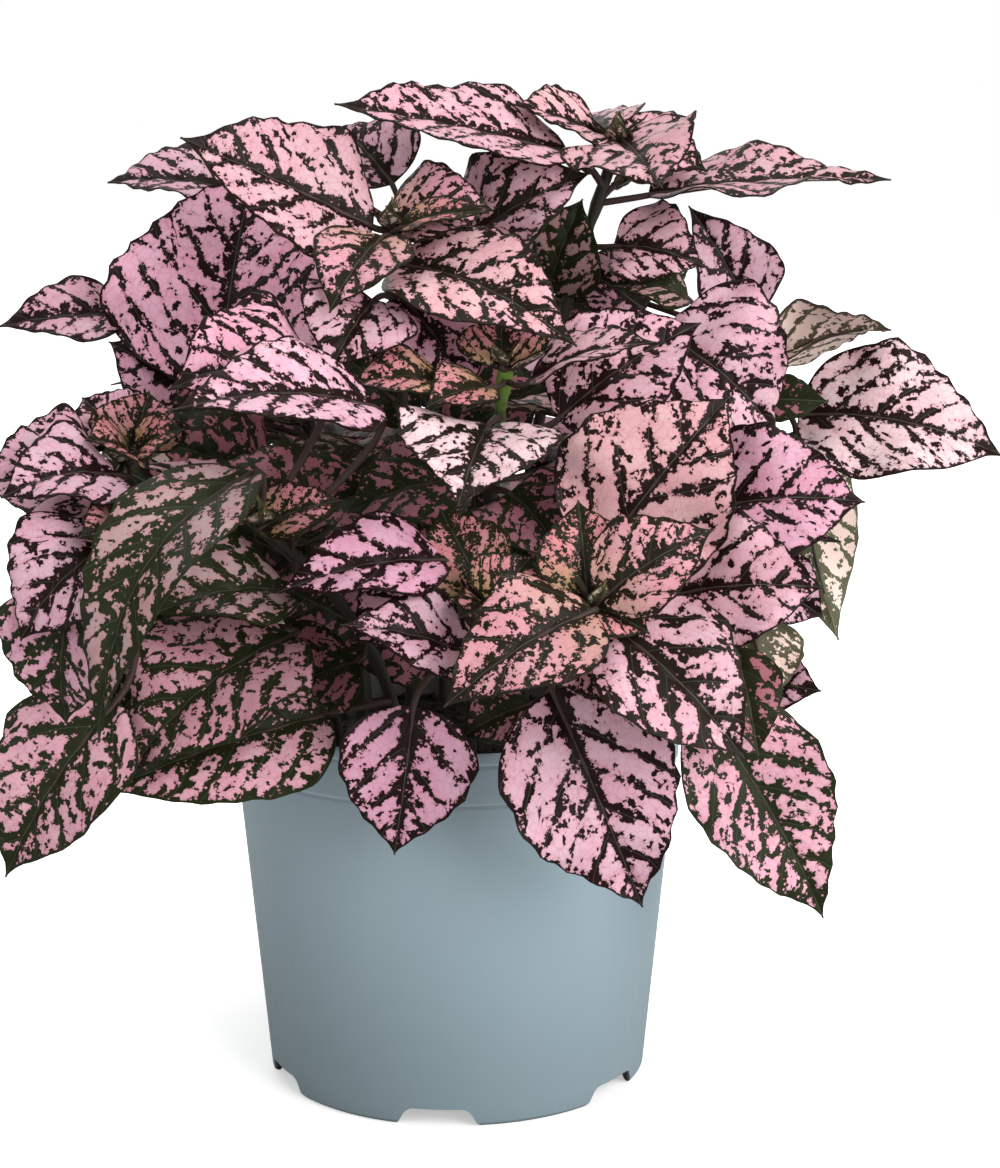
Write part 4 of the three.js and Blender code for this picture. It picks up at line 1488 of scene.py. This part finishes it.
# one blade: its points, and where its marks lie
def buildBlade(shape, bent, seed):
    pattern, u, s = shape
    draw = {name: jitter(seed + share) for name, share in draws.items()}
    side = np.abs(u)
    length = np.linalg.norm(bent["tip"] - bent["base"])
    at = leafStations(bent)
    scallop = -np.cos(np.pi * np.interp(s, at, np.arange(len(at))))
    wide = halfWidth(s) * bent["width"] / 2

    # side veins run out in a sweep, and a lobe of the margin lies between each two
    veins = np.clip(length / marks["spacing"], fine["veinsLeast"], fine["veinsMost"])
    sweep = side * wide / length
    phase = veins * (s - fine["veinSweep"] * sweep - fine["veinCurl"] * sweep * side)
    phase = phase + np.where(u > 0, fine["veinStagger"], 0) + draw["phase"]
    cycle = 2 * np.pi * phase
    lobes = fine["lobes"] * np.cos(cycle) + fine["teeth"] * np.cos(fine["teethPerLobe"] * cycle)
    drawn = 1 - fine["drawn"] * np.exp(-((1 - s) / fine["drawnReach"]) ** 2)
    half = wide * (1 + fine["scallop"] * scallop) * (1 + lobes * side ** 3) * drawn
    half = np.maximum(half, fine["tipHalf"])

    # the blade is folded, ruffled, quilted between the veins, sunk over the midrib and waved outside
    curled = (1 + fine["foldCurl"]) * side - fine["foldCurl"] * side ** 2
    lift = half * leaf["fold"] * curled + u * 2 * wide * leaf["ruffle"] * scallop
    swell = fine["quilt"] * min(1, bent["width"] / fine["quiltWidth"])
    inward = smoothStep((1 - side) * half / fine["quiltFromMargin"]) * smoothStep(half / fine["quiltHalf"])
    nearVein = 2 * np.abs(phase - np.rint(phase))
    lift = lift + swell * (smoothStep(nearVein) - 0.5) * inward
    groove = fine["groove"] * np.exp(-(u * half / fine["grooveWidth"]) ** 2)
    lift = lift - groove * smoothStep(half / fine["grooveHalf"])
    ripple = fine["ripple"] * np.sin(2 * np.pi * (phase + fine["rippleShift"] * draw["ripple"]))
    waved = fine["waves"] * s + draw["wave"] + fine["waveStagger"] * np.sign(u)
    ripple = ripple + fine["wave"] * np.sin(2 * np.pi * waved)
    reach = fine["margin"] * bent["width"] * side ** 3
    lift = lift + reach * ripple * smoothStep(half / fine["marginHalf"])
    middle, up = bladeFrame(bent, s)
    blade = copyPiece(pattern, (middle + (u * half)[:, None] * bent["side"] + lift[:, None] * up) * mm)

    colour, darker, youth, greener = tones[bent["tone"]]
    warm = spread["warm"] * (draw["warm"] - 0.5)
    colour = np.array(colour) * (spread["leastShade"] + spread["shade"] * draw["shade"]) + (warm, 0, -warm)
    darker = darker + spread["dark"] * (draw["dark"] - 0.5)
    writeMarks(blade.data, leafPlace=[u * half, s * length, marksApart * seed], leafVein=[side, s, phase],
               leafTone=[*np.clip(colour, 0, 1), greener], leafKind=[darker, youth, half])
    return blade


# a tube along a path, from ring to ring, turned so that one side keeps level
def buildTube(pattern, path, radii, level, look, seed):
    shape, ring, angle = pattern
    way = unit(np.gradient(path, axis=0))
    sideways = unit(level - way * (way @ level)[:, None])
    upwards = np.cross(way, sideways)
    around = np.cos(angle)[:, None] * sideways[ring] + np.sin(angle)[:, None] * upwards[ring]
    tube = copyPiece(shape, (path[ring] + around * radii[ring, None]) * mm)
    look = [np.broadcast_to(value, len(path))[ring] for value in look]
    along = lengthsAlong(path)[ring]
    place = [angle * tubeMarks[0], along * tubeMarks[1], marksApart * seed]
    writeMarks(tube.data, leafPlace=place, leafVein=[0, 0, 0], leafTone=[0, 0, 0, 0], leafKind=look)
    return tube


# a leaf's stalk, from the stem to the blade and on under the midrib as its rib
def buildStalk(bent, seed):
    base, bend, _ = bent["curve"]
    reach = np.linalg.norm(base - bent["root"])
    joint = base - leaf["stalkBend"] * reach * unit(bend - base)
    split = fine["stalkRings"] // 2
    free = bezier((bent["root"], joint, base), np.linspace(0, 1, split))
    share = np.linspace(0, fine["ribEnd"], fine["stalkRings"] - split + 1)[1:]
    middle, up = bladeFrame(bent, share)
    rib = middle - up * (fine["ribSunk"] * (1 + smoothStep(share / fine["ribReach"])))[:, None]
    top = fine["stalkTop"]
    radii = np.concatenate([
        np.linspace(top * fine["stalkFoot"], top, split),
        np.linspace(top * fine["ribTop"], fine["stalkEnd"], len(share)),
    ])
    radii = radii * min(1, fine["stalkSlim"] + bent["width"] / fine["stalkFull"])
    path = np.concatenate([free, rib])
    return buildTube(stalkPattern, path, radii, bent["side"], fine["stalkLook"], seed)


def buildStem(row, roots, greener, seed):
    shares = np.linspace(0, 1, fine["stemRings"] - 1)
    path = bezier(stemCurve(row), shares)
    path = np.concatenate([[path[0] - (0, 0, stem["collar"] + stem["buried"])], path])
    shares = np.concatenate([[0], shares])
    radii = stem["radius"] + (stem["topRadius"] - stem["radius"]) * shares
    height = np.linalg.norm(path[-1] - path[1])
    for root in roots:
        radii = radii + stem["knot"] * np.exp(-((shares - root) * height / stem["knotLength"]) ** 2)
    radii = np.minimum(radii, stem["radius"] * stem["knotMost"])
    return buildTube(stemPattern, path, radii, np.array([1.0, 0.0, 0.0]), [greener * shares, 0, 0], seed)


# pairs of small young leaves round a growing tip, each pair shorter and steeper than the last
def youngLeaves(end, root, count, longest, tone, seed):
    leaves = []
    for i in range(count):
        length = longest * stem["tipShorter"] ** i
        lift = stem["tipRiseSpread"] * (jitter(seed + i) - 0.5)
        rise = math.radians(stem["tipRise"] + stem["tipRiseMore"] * i + lift)
        for opposite in (0, 1):
            turn = 2 * math.pi * jitter(seed) + math.pi * opposite + math.pi / 2 * i
            turn += stem["tipTurnSpread"] * (jitter(seed + i + stem["oppositeSeed"] * opposite) - 0.5)
            flat = np.array([math.cos(turn), math.sin(turn), 0.0])
            way = flat * math.cos(rise) + (0, 0, math.sin(rise))
            face = np.array([0, 0, math.cos(rise)]) - flat * math.sin(rise)
            base = end + way * stem["tipOut"] + (0, 0, stem["tipStep"] * i)
            plan = planLeaf(base, base + way * length, stem["tipWidth"] * length, face,
                            stem["tipArch"] * length, tone, root)
            leaves.append(bentLeaf(plan))
    return leaves


# points spread over a blade, to find what is near it
def bladePoints(bent, across, along):
    s = np.repeat(np.linspace(roomPoints["from"], 1, along), across)
    u = np.tile(np.linspace(-1, 1, across), along)
    half = halfWidth(s) * bent["width"] / 2
    middle, up = bladeFrame(bent, s)
    return middle + (u * half)[:, None] * bent["side"] + (np.abs(u) * half * leaf["fold"])[:, None] * up


# short side shoots where the leaves leave the stem, with the small leaves that have room there
def sideShoots(grown, crowd, seed):
    leaves = []
    for i, bent in enumerate(grown):
        if not shoots["lowest"] < bent["share"] < shoots["highest"]:
            continue
        flat = unit((bent["base"] - bent["root"]) * (1, 1, 0) + (1e-6, 0, 0))
        end = bent["root"] + flat * shoots["out"] + (0, 0, shoots["up"])
        longest = shoots["longest"] * (1 - shoots["shorter"] * jitter(seed + i))
        ownSeed = seed + shoots["seedStep"] * i
        for young in youngLeaves(end, bent["root"], shoots["pairs"], longest, "inner", ownSeed):
            points = bladePoints(young, *roomPoints["young"])
            if all(crowd.find(point)[2] > shoots["room"] for point in points):
                leaves.append(young)
    return leaves


def joinLeafyStem(name, blades, tubes):
    piece = joinPieces(blades)
    piece.name = name
    piece.data.name = name
    applyModifier(piece, "SOLIDIFY", thickness=fine["thick"] * mm, offset=0, material_offset=1,
                  material_offset_rim=0)
    return joinPieces([piece, *tubes])


# the leaves of each stem that its solid has, from the rows and by the rule
def findLeaves():
    ruleSeed = 0
    found = {}
    for name, row in leafyStems.items():
        steps = stemSteps(row)
        tree = pointTree(readPoints(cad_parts["leafy_stem_" + name].data) / mm)
        plans = [rowLeaf(steps, *leafRow) for leafRow in row["leaves"]]
        for node, share in enumerate(row["nodes"]):
            for opposite in (0, 1):
                ruleSeed += 1
                plans.append(ruleLeaf(row, steps, share, node, opposite, ruleSeed))
        seated = [seatedLeaf(plan, tree) for plan in plans if plan]
        found[name] = [bent for bent in seated if bent]
        print("stem", name, "has", len(found[name]), "leaves of", len(seated))
    return found


def growPlant():
    found = findLeaves()
    crowd = [bladePoints(bent, *roomPoints["grown"]) for grown in found.values() for bent in grown]
    shares = np.linspace(0, 1, roomPoints["stem"])
    crowd += [bezier(stemCurve(row), shares) for row in leafyStems.values()]
    crowd = pointTree(np.concatenate(crowd))
    seed = 0
    for name, row in leafyStems.items():
        grown = found[name]
        steps = stemSteps(row)
        apex = stemCurve(row)[2]
        small = [innerLeaf(steps, *ends) for ends in inner["leaves"].get(name, [])]
        small += youngLeaves(apex, apex, stem["tipPairs"], stem["tipLength"], "tip", seed + stem["tipSeed"])
        small += sideShoots(grown, crowd, seed + shoots["seed"])
        blades = []
        tubes = []
        for i, bent in enumerate(grown + small):
            seed += 1
            blades.append(buildBlade(bladePattern if i < len(grown) else youngPattern, bent, seed))
            tubes.append(buildStalk(bent, seed))
        greener = stem["greener"] if name in stem["green"] else 1
        tubes.append(buildStem(row, [bent["share"] for bent in grown], greener, seed))
        words = "".join(word.title() for word in name.split("_"))
        piece = joinLeafyStem("leafyStem" + words, blades, tubes)
        finishPiece(piece, fine["smoothAngle"], "foliage", "leafy_stem_" + name)
        print(piece.name, "grown, with", len(small), "small leaves")
    for pattern in (bladePattern, youngPattern, stalkPattern, stemPattern):
        bpy.data.objects.remove(pattern[0])


growPlant()
print("plant grown")


# a plain white floor with painted light: where the camera sees it, it is whiter than what it bounces
# and glows, less near the pot and evenly further out, so that it meets the background unseen
studioFloor = {
    "size": 12.0,
    "cuts": 3,
    "white": (0.85, 0.85, 0.85, 1),
    "bounce": (0.5, 0.5, 0.5, 1),
    "roughness": 0.9,
    "litReach": (-0.35, 0.5),
    "light": 1.0,
}


def buildFloor():
    floor = startPiece("floor", bpy.ops.mesh.primitive_plane_add, size=studioFloor["size"])
    with editing(floor):
        bpy.ops.mesh.subdivide(number_cuts=studioFloor["cuts"])
    material = newMaterial("whiteFloor")
    # painted light: a glow that only the camera sees, rising from the middle outwards
    glow = ramp(lengthOf(objectPlace(material.node_tree)), *studioFloor["litReach"])
    seen = addNode("ShaderNodeLightPath", {}, "Is Camera Ray", material.node_tree)
    setShader(
        material,
        Base_Color=mixColour(seen, studioFloor["bounce"], studioFloor["white"]),
        Roughness=studioFloor["roughness"],
        Emission_Color=combine(glow, glow, glow, "Color"),
        Emission_Strength=seen * studioFloor["light"],
    )
    dress(floor, material)


buildFloor()
print("floor laid")
